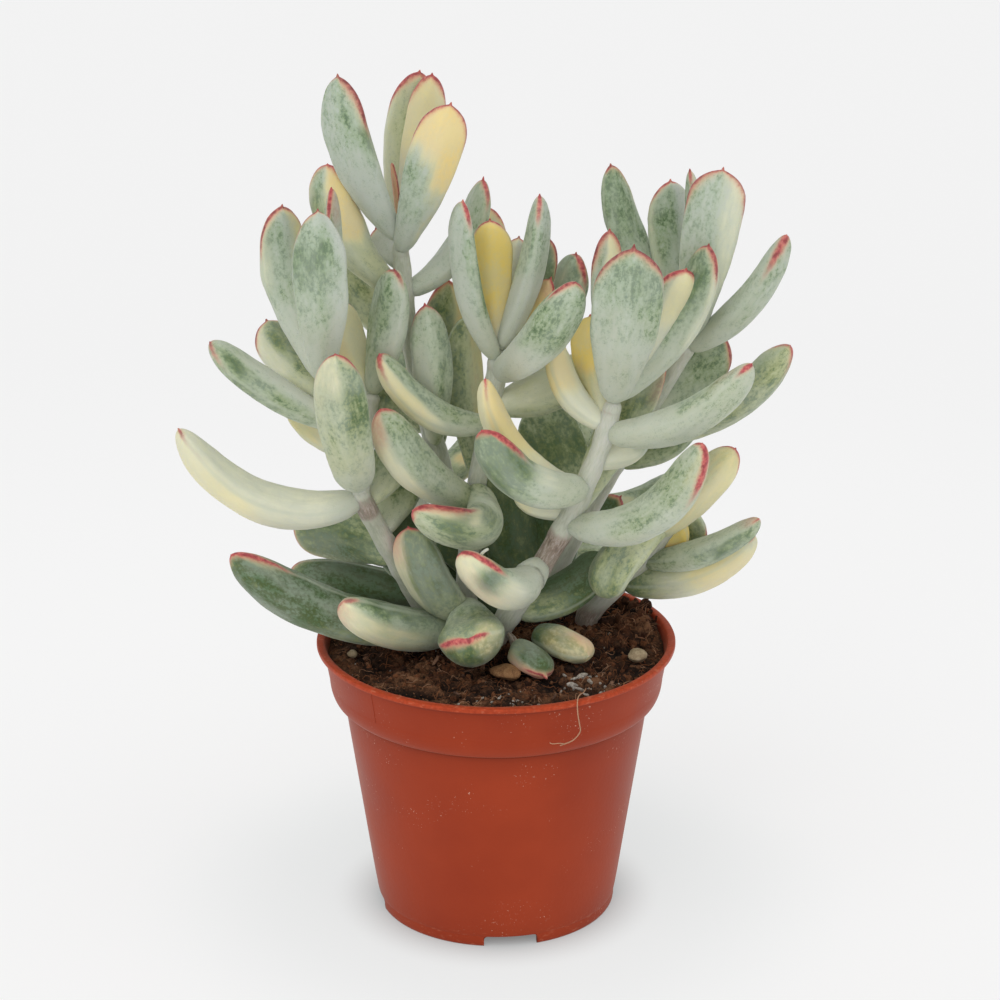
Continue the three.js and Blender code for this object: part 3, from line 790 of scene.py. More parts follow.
def left_shoot():
    shoot = Shoot(100)
    stem = shoot.standing(-18, 8.5, [[-26, -1, 103], [-37, -12, 125], [-39, -15, 136]], 3.4, 2.6,
                          wood=0.1, bark=[(0.82, 0.93, 0.5)])
    outer = shoot.stem([-38, -15, 134], [[-40, -17, 145], [-43, -19, 158], [-48, -20, 169]], 2.6, 2.2)
    inner = shoot.stem([-38, -14, 134], [[-37, -8, 142], [-36, -4, 151], [-35, -2, 159]], 2.4, 2)
    leaf = shoot.leaf
    # low leaves of the stem, the long cream one out to the left first
    leaf(stem, 0.87, [-88, -24, 155.5], [-2.5, 0, -11], 12, 12.5, ("pale", 0.1, 1, "D", -2, 0.86),
         ("cream", 0.45, 1, "DL", 0.1, 0.5), ("yellow", 0.5, 0.85, "D", 0.4, 0.3), rim=(0.91, 0.7),
         ripe=0.6, green=0.1, neck=0.65)
    leaf(stem, 0.97, [-43, -44, 183.5], [0, -7, 0], 14.5, 11, ("olive", 0.2, 1, "L", -0.8, 0.5),
         ("cream", 0.76, 1, "L", -0.2, 0.6), ("lime", 0.5, 0.8, "L", 0.4, 0.5),
         ("green", 0.5, 0.92, "R", 0.2, 0.9), rim=(0.82, 1.0), ripe=0.75, green=0.48, neck=0.75, point=0.5)
    leaf(stem, 0.44, [-60, 12, 113.5], [0, 6, -0.5], 17, 10, ("dark", 0.1, 1, "D", -0.35, 0.6),
         ("olive", 0, 1, "D", 0.2), ("lime", 0.3, 1, "D", 0.7, 0.5), rim=(0.45, 0.6, "D"), ripe=0.1,
         green=0.4)
    leaf(stem, 0.6, [-29, 8, 133], [1, 4, 0], 16, 8, ("light", 0, 1), green=0.6)
    leaf(stem, 0.81, [-27.5, -2, 145], [1.5, 4, -1], 12, 7, ("olive", 0, 1, "R", 0), green=0.45)
    # the outer branch, three leaves in its crown and three below them
    leaf(outer, 0.97, [-59, -4, 214], [-4.5, 9, 0], 14, 9, ("yellow", 0.6, 1, "R", 0.4, 0.7),
         ("pale", 0.45, 1, "L", 0.5, 0.7), ("green", 0.3, 0.85, "L", -0.2), rim=(0.62, 0.6), green=0.25,
         point=1.3)
    leaf(outer, 0.98, [-47.5, -33, 220.5], [0.5, -7, 0], 14.5, 8, ("dark", 0.66, 0.92, "L", -0.7, 0.7),
         ("green", 0.4, 0.75), ("light", 0.1, 1, "R", 0.35, 0.8), rim=(0.76, 0.7, "L"), green=0.25)
    leaf(outer, 0.92, [-44.5, -20, 223], [1, 6, 0], 10, 5, ("green", 0.6, 0.95, "L", 0),
         ("pink", 0.84, 1, "R", 0, 0.4), rim=(0.8, 0.7), ripe=0.7, face=(1, 0, 0.35))
    leaf(outer, 0.78, [-65, 4, 178.5], [-2.5, 4, -2], 13, 9, ("pale", 0.4, 1, "L", 0.35, 0.9),
         ("olive", 0.1, 1), ("dark", 0.15, 1, "R", -0.35, 0.8), rim=(0.64, 0.65), ripe=0.15, green=0.35)
    leaf(outer, 0.58, [-78.5, -24, 180.5], [-0.5, 1, -2.5], 11, 9.5, ("dark", 0.2, 0.9, "D", -0.1, 0.7),
         ("light", 0.1, 1, "U", 0.0, 0.9), ("dark", 0.75, 1, "U", -0.5, 0.5), rim=(0.88, 1.2), ripe=0.4,
         green=0.35)
    leaf(outer, 0.32, [-58, 0, 158], [-1, 4, -2], 12, 9, ("olive", 0, 1), ("lime", 0.2, 0.8, "L", 0.1),
         green=0.3)
    # the inner branch
    leaf(inner, 0.98, [-28, -11, 197.5], [1, 1, 0], 13, 10, ("dark", 0.2, 0.95, "L", 0.1, 0.45),
         ("light", 0.1, 0.9, "R", 0.3, 0.6), ("dark", 0.3, 0.9, "R", 0.75, 0.5), rim=(0.85, 0.95),
         green=0.35, point=0.8)
    leaf(inner, 0.92, [-45.5, -2, 186], [-1.5, 3, 0], 12, 6, ("cream", 0.1, 1),
         ("yellow", 0.3, 1, "L", 0, 0.7))
    # small dark leaves in the gaps behind
    leaf(inner, 0.5, [-30, 3, 161], [1, 3, -1], 10, 7, ("olive", 0, 1), rim=None, green=0.5)
    leaf(stem, 0.3, [-31, 12, 124], [-1, 3, 0], 14, 7, ("dark", 0, 1), rim=None, green=0.4, neck=0.8)
    shoot.build("shoot_left", "leaf_left")


def tall_shoot():
    shoot = Shoot(200)
    stem = shoot.standing(-2, 26, [[-16, 12, 132], [-25, 8, 153], [-27, 3, 205]], 3.4, 2.3)
    leaf = shoot.leaf
    # the crown
    leaf(stem, 0.98, [-43, -6, 251], [-3, -6, -1], 14, 7, ("green", 0.7, 0.95, "R", -0.3),
         ("cream", 0.76, 0.86, "R", 0.5, 0.7), ("dark", 0.6, 0.78, "R", 0.7, 1.2), rim=(0.68, 1.3, "R"),
         ripe=0.1, green=0.28)
    leaf(stem, 0.98, [-21, 10, 248.5], [-1.5, 7, 0], 13, 7, ("lime", 0.1, 1, "R", 0.4, 0.8),
         ("pale", 0.2, 1, "L", 0.7, 0.7), ("olive", 0.1, 1), ("dark", 0.2, 0.9, "R", -0.2, 0.5),
         rim=(0.72, 1.0), ripe=0.5, green=0.2)
    leaf(stem, 0.98, [-17.5, 4, 249], [1, 6, 0], 11, 7, ("cream", 0.1, 1),
         ("yellow", 0.4, 1, "L", -0.4, 0.4), ("lime", 0.1, 0.5), rim=(0.68, 0.8), ripe=0.6)
    leaf(stem, 0.96, [-12, -14, 245], [0, -6, -0.5], 14, 8, ("yellow", 0.68, 1, "R", -1.6, 0.95),
         ("yellow", 0.45, 0.8, "R", 0.0, 0.9), ("bright", 0.5, 1, "R", 0, 0.3),
         ("lime", 0.1, 0.5, "R", 0.25, 0.8), ("dark", 0.3, 0.64, "L", -0.6, 0.45), rim=(0.68, 1.0),
         ripe=0.55, green=0.34, widest=0.75)
    # a dried sliver beside them
    leaf(stem, 0.99, [-28.7, -1.5, 225], [0.3, 0.5, 0], 2.0, 1.6, ("scar", 0, 0.6, "R", 0, 1.2),
         ("pink", 0, 1), ("olive", 0, 1), rim=(0.02, 0.3), ripe=0, green=0.5)
    leaf(stem, 0.92, [-34, 12, 203], [-1, 2, -0.5], 6.5, 5, ("light", 0, 1))
    # a pair below the crown
    leaf(stem, 0.87, [-3.5, 11, 218], [4, 3, -5], 12, 8, rim=(0.82, 0.95), ripe=0.7, green=0.38)
    leaf(stem, 0.86, [-46.5, 0, 224.5], [-5, -2, -1.5], 13, 11, ("yellow", 0.5, 1, "R", -0.25, 0.95),
         ("dark", 0.55, 0.95, "L", 0.35, 0.8), ("cream", 0.8, 0.9, "L", 0.6, 0.7), ("olive", 0.1, 0.8),
         rim=(0.7, 1.2), ripe=0.7, green=0.3, face=(-0.35, 0, 0.94), widest=0.72)
    # lower leaves
    leaf(stem, 0.73, [-43.5, 14, 192], [-1.5, 4, -1.5], 13, 8, ("olive", 0, 1), green=0.45)
    leaf(stem, 0.5, [-32.5, 18, 159], [-1.5, 4, -1], 13, 8, ("yellow", 0.2, 1, "R", 0.2), ("olive", 0, 1),
         green=0.4)
    leaf(stem, 0.46, [-20, -2, 185], [1, -4, 0], 11.5, 9, ("green", 0.3, 0.9, "R", 0.3),
         ("light", 0, 0.7, "L", 0), rim=(0.84, 1.0), ripe=0.9, green=0.3)
    leaf(stem, 0.43, [-13.5, 14, 187.5], [-1, 5, 0], 12, 7, ("yellow", 0.3, 1, "R", 0.5, 0.9),
         ("dark", 0.3, 0.95, "L", -0.6, 0.6), ("olive", 0.1, 1), rim=(0.76, 0.75), ripe=0.5, green=0.35)
    shoot.build("shoot_tall", "leaf_tall")


def middle_shoot():
    shoot = Shoot(300)
    stem = shoot.standing(-9, 16.5, [[-9, 6, 125], [-1, 0, 147], [1, -3, 173]], 3.3, 2.4)
    leaf = shoot.leaf
    # the crown
    leaf(stem, 0.94, [-9, -14, 218], [-3.5, -2, -0.5], 12, 7.5, ("green", 0.3, 0.85, "R", 0.1),
         ("dark", 0.3, 0.6, "R", 0.7, 0.8), rim=(0.84, 0.95), ripe=0.7, green=0.2, point=0.8)
    leaf(stem, 0.98, [-1.7, -5, 210.2], [-0.5, 3, 0], 11.5, 7, ("yellow", 0.1, 1),
         ("bright", 0.3, 1, "L", -0.9), ("lime", 0, 0.2), rim=(0.8, 0.5), ripe=0.8, green=0.1,
         face=(0, 0.35, 1), widest=0.68)
    leaf(stem, 0.99, [12, -8, 218], [2.5, 0, -0.5], 12, 8, ("light", 0, 0.5),
         ("green", 0.3, 0.9, "L", 0.1, 0.8), rim=(0.86, 0.95), ripe=0.85, green=0.3, point=0.9)
    leaf(stem, 0.9, [21.5, -34, 200.5], [1, -5, -2.5], 13, 12, ("dark", 0.45, 0.95, "L", -0.6, 0.3),
         ("scar", 0.1, 0.3, "D", 0.3), ("light", 0, 0.5), rim=(0.8, 0.75), ripe=0.4, green=0.4)
    leaf(stem, 0.97, [-2.3, 21, 207], [-0.5, 6, 0], 10, 6, ("yellow", 0.8, 1, "R", -0.3, 0.7),
         ("green", 0.6, 1), rim=(0.72, 0.9), ripe=0.7, green=0.35)
    leaf(stem, 0.96, [15, 4, 202.5], [1.5, 4, -0.5], 10, 6, ("dark", 0.4, 1), rim=(0.62, 0.5), ripe=0.1,
         green=0.35)
    leaf(stem, 0.96, [6.5, 12, 200.5], [0.5, 5, 0], 9, 6, ("pale", 0.4, 1, "L", 0.0), ("light", 0, 1),
         rim=(0.8, 0.5))
    leaf(stem, 0.88, [22.5, 6, 197.5], [5, 4, -2], 14, 9, ("green", 0.4, 1),
         ("cream", 0.55, 0.9, "L", 0.3, 0.5), rim=(0.72, 0.95, "R"), ripe=0.6, green=0.4)
    leaf(stem, 0.88, [15.5, 0, 192], [1, 2, -1], 8, 6, ("yellow", 0.3, 1), ("pink", 0.8, 1, "U", -1, 0.5),
         rim=(0.6, 0.5), ripe=0.8)
    # leaves along the stem
    leaf(stem, 0.76, [26.5, 3, 166], [0, 3, -3.5], 14, 13, ("pale", 0, 1, "U", -0.5, 0.6), ("olive", 0, 1),
         rim=None, green=0.2)
    leaf(stem, 0.68, [-32.5, -14, 174], [-1.5, -1, -6], 10, 9.5, ("cream", 0.35, 1, "DL", 0, 0.85),
         ("yellow", 0.5, 0.9, "D", 0.2, 0.4), ("green", 0.1, 0.9, "UR", 0.0), rim=(0.86, 1.2), ripe=0.9,
         green=0.3, neck=0.6, face=(0.3, 0.6, 0.7))
    leaf(stem, 0.45, [-9, 9, 178], [-1.5, 4, 0], 11, 7, ("lime", 0.2, 1, "R", 0.25), ("olive", 0, 1),
         ("dark", 0.3, 1, "L", 0, 0.5), rim=None, green=0.35)
    leaf(stem, 0.38, [-32, -22, 160.5], [-2.5, -4, -3.5], 13, 12, ("cream", 0.35, 1, "DL", 0.4, 0.75),
         ("green", 0.4, 0.95, "UR", -0.3), ("pink", 0.85, 1, "L", 0.1, 0.7), rim=(0.88, 1.3), green=0.3,
         face=(0.35, -0.35, 0.87), neck=0.6)
    leaf(stem, 0.43, [-23.5, -26, 132], [9, -4, -7.5], 12, 12, ("cream", 0.55, 0.98, "U", 0.0, 0.85),
         ("moss", 0.72, 0.84, "U", -0.7, 0.95), ("moss", 0.42, 0.58, "U", -0.5, 0.8),
         ("olive", 0.4, 1, "D", -2, 0.4), rim=(0.6, 1.5, "U"), ripe=0.95, green=0.32,
         face=(-0.05, -0.3, 0.95), neck=0.6, point=0.2)
    leaf(stem, 0.03, [-61, 17, 97], [0, 0, 1], 11, 11, ("dark", 0.1, 0.95),
         ("light", 0.4, 0.97, "U", 0.6, 1.3), rim=(0.84, 0.7, "U"), ripe=0.2, green=0.5,
         face=(0, -0.4, 0.9), neck=0.8)
    shoot.build("shoot_middle", "leaf_middle")


def front_shoot():
    shoot = Shoot(400)
    stem = shoot.standing(-1, 0, [[15, -12, 112], [29, -17, 138], [33, -17, 163]], 3.6, 2.5,
                          wood=0.05, bark=[(0.25, 0.5, 0.75)])
    leaf = shoot.leaf
    # the crown
    leaf(stem, 0.98, [37, -34, 211], [0, -5, 0], 19.5, 9, ("green", 0.7, 0.98, "L", -1.2, 0.9),
         ("green", 0.45, 0.95, "R", -0.1, 0.5), rim=(0.72, 1.6), ripe=0.1, green=0.31, point=1.6,
         widest=0.66)
    leaf(stem, 1, [52.5, -12, 198], [3, 6, -1], 12, 9, ("cream", 0.42, 1, "R", -0.6),
         ("yellow", 0.5, 0.95, "R", -0.1, 0.25), ("pale", 0.1, 0.6), rim=(0.62, 0.8), ripe=0.75,
         face=(0.2, 0, 1), widest=0.7)
    leaf(stem, 0.98, [58.5, -12, 205], [5, 6, -3], 13, 8, ("dark", 0.4, 0.97, "L", -0.3, 0.5),
         ("pale", 0.35, 0.97, "R", 0.5, 0.8), rim=(0.76, 0.75), ripe=0.3, green=0.45)
    leaf(stem, 0.98, [31.5, -4, 207], [-1, 6, 0], 9, 7, ("cream", 0.5, 1, "R", -0.2), rim=(0.6, 0.9),
         ripe=0.3)
    leaf(stem, 0.9, [26.5, 2, 180.5], [-1, 4, 0], 12, 8, ("bright", 0.3, 1), ("lime", 0, 0.45),
         ("olive", 0, 1), rim=(0.85, 0.5), ripe=0.8, face=(-0.3, 0.2, 1))
    leaf(stem, 0.88, [17, -10, 177], [-3.5, 2, -3], 9.5, 8.5, ("pale", 0, 1),
         ("yellow", 0.5, 1, "L", -0.6, 0.8), rim=None, green=0.1, neck=0.6)
    leaf(stem, 0.85, [69.5, -34, 177.5], [2, -2, -5], 11, 11, ("green", 0.5, 0.9, "U", 0.2),
         ("pink", 0.8, 0.95, "U", 0.2, 0.3), rim=(0.87, 0.9), green=0.25, neck=0.6)
    # leaves along the stem, to the left and to the right in turn
    leaf(stem, 0.74, [41, -8, 151], [1.5, 3, -2.5], 11, 10, ("pale", 0, 0.6), rim=None, green=0.2)
    leaf(stem, 0.64, [-4, -34, 158.5], [-2, -3, -6], 13, 12.5, ("dark", 0.55, 1, "D", -1.2, 0.95),
         ("pale", 0.3, 0.6, "U", -0.2, 0.7), rim=(0.68, 1.6, "U"), ripe=0.9, green=0.4,
         face=(-0.35, -0.5, 0.8), neck=0.6)
    leaf(stem, 0.62, [-3, -24, 170], [-4.5, 2, -6.5], 10, 9.5, ("pale", 0, 0.5), ("cream", 0.35, 1),
         ("yellow", 0.5, 1, "R", -0.4, 0.8), rim=(0.88, 0.6), green=0.15, neck=0.6)
    leaf(stem, 0.52, [5.5, -8, 134], [-1, 4, -2.5], 10, 7, ("pale", 0, 1), ("cream", 0.5, 1, "D", 0),
         rim=None)
    leaf(stem, 0.5, [46.5, -1, 174.5], [1.5, 4, -1], 13, 8, ("olive", 0, 1), ("green", 0.2, 0.9, "R", -0.2),
         ("pink", 0.75, 1, "R", 0.5, 0.5), rim=(0.7, 0.5), green=0.35)
    leaf(stem, 0.48, [56, -42, 157.5], [4.5, -3, -8], 13, 11, ("lime", 0.8, 1, "R", -0.4, 0.7),
         ("green", 0.3, 0.9, "UL", -0.2, 0.7), rim=(0.74, 1.3, "R"), green=0.3, face=(-0.45, 0.35, 0.8),
         neck=0.6)
    leaf(stem, 0.32, [-9.5, -36, 123.5], [1, -4, -7.5], 12.5, 12, ("pale", 0.4, 0.8, "D", -0.2, 0.8),
         ("cream", 0.58, 1, "D", -0.3, 0.8), ("moss", 0.68, 0.88, "U", -0.9, 1.0),
         ("pink", 0.6, 0.95, "DL", 0.2, 0.2), ("light", 0, 0.6, "U", -1, 0.4), rim=(0.66, 0.95, "U"),
         ripe=0.9, green=0.25, face=(-0.5, -0.4, 0.75), neck=0.5, point=0.2)
    # a dry white curl beside the tip of that leaf
    shoot.stem([-4.6, -34.8, 121.4], [[-4, -35.2, 122.6], [-3.2, -35.6, 123.8], [-2, -35.8, 124.2]], 0.4, 0.3)
    leaf(stem, 0.12, [31.5, 4, 108], [3, 3, -4], 14, 10.5, ("green", 0.2, 1, "L", -0.2),
         ("olive", 0, 1, "D", -0.5, 0.6), rim=None, green=0.58, neck=0.7)
    shoot.build("shoot_front", "leaf_front")


def right_back_shoot():
    shoot = Shoot(500)
    stem = shoot.standing(12.5, 21.5, [[23, 18, 113], [41, 10, 143], [56, 6, 173]], 3.4, 2.4)
    leaf = shoot.leaf
    # the crown
    leaf(stem, 0.97, [32, 12, 221.5], [-4, 5, -0.5], 11, 7, ("dark", 0.5, 1, "L", -0.8, 0.4),
         rim=(0.66, 0.65, "R"), ripe=0.15, green=0.45)
    leaf(stem, 0.98, [49, 14, 216.5], [-1.5, 5, 0], 14, 6, ("pale", 0.4, 1, "L", 0.6, 0.6),
         ("green", 0.3, 0.95, "L", -0.3), ("light", 0.3, 1, "R", 0.2, 0.7), rim=(0.76, 0.7, "L"), ripe=0.4,
         green=0.25)
    leaf(stem, 0.99, [54, 8, 221], [1, 0, 0], 10, 6, ("pale", 0.4, 1, "R", 0.2, 0.6),
         ("green", 0.4, 1, "L", 0), rim=(0.9, 0.8), ripe=0.4, green=0.2)
    leaf(stem, 0.98, [63, 2, 223], [-1, -6, 0], 16, 7, ("pale", 0.3, 1, "R", 0.15, 0.8), rim=(0.7, 1.5),
         ripe=0.35, green=0.36, widest=0.8)
    leaf(stem, 0.96, [80, -10, 207], [2, 0, -4], 11, 9, ("cream", 0.68, 0.78, "U", -0.1, 0.4),
         rim=(0.78, 1.2), ripe=0.5, green=0.35)
    # leaves along the stem
    leaf(stem, 0.69, [66, 12, 170.5], [1.5, 4, -1], 14, 9, ("dark", 0.3, 1, "U", -1.2, 0.5),
         rim=(0.72, 0.6), ripe=0.2, green=0.3)
    leaf(stem, 0.63, [83, 0, 172], [3.5, 3, -6], 11, 12, ("olive", 0.3, 1, "D", 0.1),
         ("green", 0.3, 0.9, "D", -0.4), ("lime", 0.85, 1, "U", 0, 0.5), rim=(0.87, 1.1), green=0.35,
         face=(0.35, 0.5, 0.8))
    leaf(stem, 0.55, [59, 14, 151], [2, 3, -4.5], 12, 8, rim=None, green=0.5)
    leaf(stem, 0.35, [11, 16, 149], [-0.5, 5, 0], 18, 8, ("green", 0.4, 0.9), rim=None, green=0.15,
         neck=0.8)
    leaf(stem, 0.26, [37, 24, 118], [1, 3, -1.5], 9, 6, ("green", 0, 1), rim=(0.7, 0.9))
    leaf(stem, 0.03, [1.5, 13, 131], [-3, 5, 0], 19, 8, ("green", 0.2, 0.9), rim=None, green=0.2, neck=1,
         point=0.4)
    leaf(stem, 0.03, [-16, 20, 112], [-3, 4, 0], 17, 8, rim=None, green=0.25, neck=1, point=0.4)
    leaf(stem, 0.03, [-24, 23, 100], [-3, 4, -1], 17, 8, ("dark", 0, 1), rim=None, green=0.5, neck=1,
         point=0.4)
    leaf(stem, 0.06, [19, 20, 122], [1, 4, 0], 14, 8, ("green", 0.1, 1), rim=None, green=0.3, neck=1,
         point=0.4)
    shoot.build("shoot_right_back", "leaf_right_back")


def right_shoot():
    shoot = Shoot(600)
    stem = shoot.standing(27, 17.5, [[33, 14, 93], [44, 5, 102], [53, 2, 124]], 3.4, 2.5)
    leaf = shoot.leaf
    leaf(stem, 0.84, [67.5, -12, 145.5], [-1.5, -3, -0.5], 11.5, 11, ("lime", 0.1, 1),
         ("cream", 0.5, 0.97, "R", -0.2, 0.5), ("olive", 0, 1), ("green", 0.3, 0.9, "L", 0.2),
         rim=(0.85, 1.0), green=0.2)
    leaf(stem, 0.63, [74.5, -14, 125], [1, -1, -3], 10, 8.5, ("dark", 0.5, 0.95, "D", 0.2, 0.8),
         ("pink", 0.92, 1, "U", -0.4, 0.6), rim=(0.95, 0.5), green=0.3)
    leaf(stem, 0.42, [74.5, -2, 115.5], [1.5, 0, -4.2], 12, 12.5, ("pale", 0.2, 1, "D", -0.3, 0.7),
         ("yellow", 0.5, 0.97, "D", -0.1, 0.7), ("olive", 0, 0.6), rim=(0.9, 0.5, "R"), green=0.25,
         neck=0.6)
    leaf(stem, 0.91, [31, -12, 100], [-4.5, -3, 2], 15.5, 11, ("olive", 0, 1),
         ("pale", 0.3, 1, "R", 0.5, 0.4), rim=None, green=0.5, point=0)
    leaf(stem, 0.94, [48.3, 5, 106.7], [1.5, 2, 0], 11, 7, ("bright", 0.1, 1), ("olive", 0, 1),
         rim=(0.5, 2.2), ripe=1)
    leaf(stem, 0.99, [57.5, 9, 106], [1.5, 3, 0], 9, 5, ("olive", 0, 1), ("green", 0.3, 1), rim=(0.5, 0.5),
         ripe=0.2)
    shoot.build("shoot_right", "leaf_right")


def low_shoot():
    shoot = Shoot(700)
    stem = shoot.standing(-11, 3, [[-10.5, 2, 86], [-10, 0, 90], [-9, -2, 94]], 3.6, 3)
    leaf = shoot.leaf
    leaf(stem, 0.95, [-7.5, -38, 97.2], [1.5, 0, -3], 18.5, 16, ("green", 0.3, 1, "U", -0.6, 0.5),
         ("dark", 0.7, 1, "D", -0.2, 0.6), ("olive", 0.5, 1), ("lime", 0.84, 1, "R", 0.3, 0.9),
         rim=(0.74, 0.8, "L"), ripe=0.9, green=0.4, face=(0.25, -1, 0), neck=0.5, point=0.1, curl=-1.2,
         widest=0.72, plump=1)
    leaf(stem, 0.3, [-43, -30, 106], [-1, -2, -3.5], 12.5, 13, ("cream", 0.5, 1, "DL", -0.4, 0.75),
         ("lime", 0.3, 0.75, "D", 0.1, 0.5), ("dark", 0.2, 0.92, "U", 0.2, 0.75),
         ("pink", 0.93, 1, "L", -0.4, 0.6), rim=(0.93, 1.2), ripe=0.7, green=0.42, neck=0.65, point=0.2,
         face=(-0.3, -0.25, 0.9))
    leaf(stem, 0.4, [-74.5, -24, 118], [-1.5, -2, -7.5], 13.5, 16, ("dark", 0.15, 1, "U", -0.45, 0.9),
         ("lime", 0.86, 0.97, "U", 0.1, 0.9), ("olive", 0, 1, "D", 0.1, 0.7),
         ("light", 0.1, 0.75, "U", 0.85, 1.5), rim=(0.74, 1.1, "U"), ripe=0.85, green=0.95,
         face=(0, -0.5, 0.86), neck=0.65, point=0.3)
    leaf(stem, 0.75, [-25, -12, 122], [-1.5, -5, -2.5], 15, 10.5, ("cream", 0.4, 0.95, "L", 0.4, 0.8),
         ("olive", 0, 1), ("dark", 0.4, 0.97, "R", -0.5, 0.75), ("pink", 0.78, 0.97, "L", 0.5, 0.7),
         rim=(0.72, 1.5, "L"), ripe=0.9, green=0.55, neck=0.6, point=0.5)
    shoot.build("shoot_low", "leaf_low")


def back_shoot(node, seed, start, guides, leaves):
    """A shoot that the photograph doesn't show, with leaves in the same mixed colours as the others."""
    shoot = Shoot(seed)
    stem = shoot.standing(*start, guides, 3.3, 2.4)
    draw = np.random.default_rng(seed)
    for share, tip, bow, width, thickness in leaves:
        patches = [("green", 0.4, 0.95)]
        if draw.random() < 0.5:
            kind = draw.choice(["cream", "yellow", "lime"])
            start, side = 0.3 + 0.3 * draw.random(), draw.choice(["L", "R"])
            patches.append((kind, start, 1, side, 0.5 * draw.random() - 0.1))
        rim = (0.72 + 0.12 * draw.random(), 0.6 + 0.3 * draw.random())
        green = 0.2 + 0.3 * draw.random()
        shoot.leaf(stem, share, tip, bow, width, thickness, *patches, rim=rim, green=green)
    shoot.build(node, "leaf_back")


def back_shoots():
    back_shoot("shoot_back_left", 800, (-15, 35), [[-20, 42, 100], [-28, 50, 116], [-30, 53, 134]], [
        (0.98, [-30, 62, 160], [-1, 5, 0], 12, 8),
        (0.97, [-14, 60, 160], [2, 4, 0], 12, 8),
        (0.88, [-44, 48, 152], [-4, 0, -3], 12, 9),
        (0.84, [-20, 76, 150], [0, 5, -4], 13, 9),
        (0.66, [-46, 64, 124], [-2, 2, -6], 12, 10),
        (0.6, [-2, 70, 128], [3, 3, -5], 13, 10),
        (0.34, [-30, 74, 106], [0, 3, -7], 13, 10),
        (0.28, [-48, 42, 104], [-1, 0, -6], 12, 10),
    ])
    back_shoot("shoot_back_right", 900, (15, 38), [[20, 46, 96], [26, 52, 110], [30, 54, 124]], [
        (0.98, [34, 64, 154], [1, 5, 0], 13, 8),
        (0.96, [18, 60, 150], [-3, 4, 0], 12, 8),
        (0.86, [50, 50, 142], [4, 0, -3], 12, 9),
        (0.78, [34, 80, 134], [1, 5, -4], 13, 9),
        (0.58, [56, 60, 112], [2, 2, -6], 12, 10),
        (0.5, [10, 76, 112], [-2, 3, -5], 12, 10),
        (0.3, [40, 74, 98], [2, 3, -6], 13, 10),
    ])


left_shoot()
tall_shoot()
middle_shoot()
front_shoot()
right_back_shoot()
right_shoot()
low_shoot()
back_shoots()


# Pot


def pot_material():
    """Thin satin plastic, paler where it is scuffed, with specks of dust, a painted glow at its lip and painted
    shade under lip and band.
    """
    s = Shader("pot_plastic")
    lip, line, scuff, _ = s.painted("wear")
    place = s.object_place()
    cloud = s.noise(place, 28.0, 3.0, 0.55)
    fine = s.noise(place, 900.0, 3.0, 0.6)
    colour = s.ramp(
        cloud,
        (0.32, 146, 51, 25),
        (0.5, 152, 55, 27),
        (0.68, 159, 59, 30),
    )
    # the lip is painted a brighter orange: a painted glow of light through its thin plastic
    colour = s.blend(s.times(lip, s.span(fine, 0.35, 0.65, 0.3, 0.9)), colour, linear(182, 70, 38))
    # painted shade in the corners under the lip and the band, and the dark mould line on the band
    colour = s.blend(s.times(line, 0.75), colour, linear(88, 30, 18))
    # dust, as sparse pale specks in loose clusters
    cluster = s.span(s.noise(place, 75.0, 2.0), 0.53, 0.66)
    specks = s.span(s.noise(place, 1700.0, 2.0), 0.66, 0.74)
    colour = s.blend(s.times(specks, cluster, 0.75), colour, linear(214, 170, 150))
    # scuffs along the lip and at the foot
    scrape = s.span(s.noise(s.scaled(place, (1, 1, 2.5)), 420.0, 4.0, 0.65), 0.56, 0.68)
    colour = s.blend(s.times(scrape, scuff, 0.35), colour, linear(214, 140, 108))
    roughness = s.span(s.plus(cloud, s.times(fine, 0.2)), 0.4, 0.8, 0.4, 0.52)
    normal = s.bump(s.plus(fine, s.times(cloud, 2.0)), 0.00012, 0.35)
    sheen = dict(Sheen_Weight=0.08, Sheen_Roughness=0.45, Sheen_Tint=(1.0, 0.82, 0.66, 1.0))
    return s.finish(colour, roughness, normal, Specular_IOR_Level=0.12, **sheen)


def smoothed(corners, steps):
    """A smooth line through the given corners."""
    corners = np.asarray(corners, float)
    padded = np.concatenate([2 * corners[:1] - corners[1:2], corners, 2 * corners[-1:] - corners[-2:-1]])
    line = []
    for i in range(len(corners) - 1):
        a, b, c, d = padded[i : i + 4]
        for u in np.linspace(0, 1, steps, endpoint=False):
            line.append(0.5 * (2 * b + (c - a) * u + (2 * a - 5 * b + 4 * c - d) * u**2
                               + (3 * b - a - 3 * c + d) * u**3))
    line.append(corners[-1])
    return [tuple(point) for point in line]


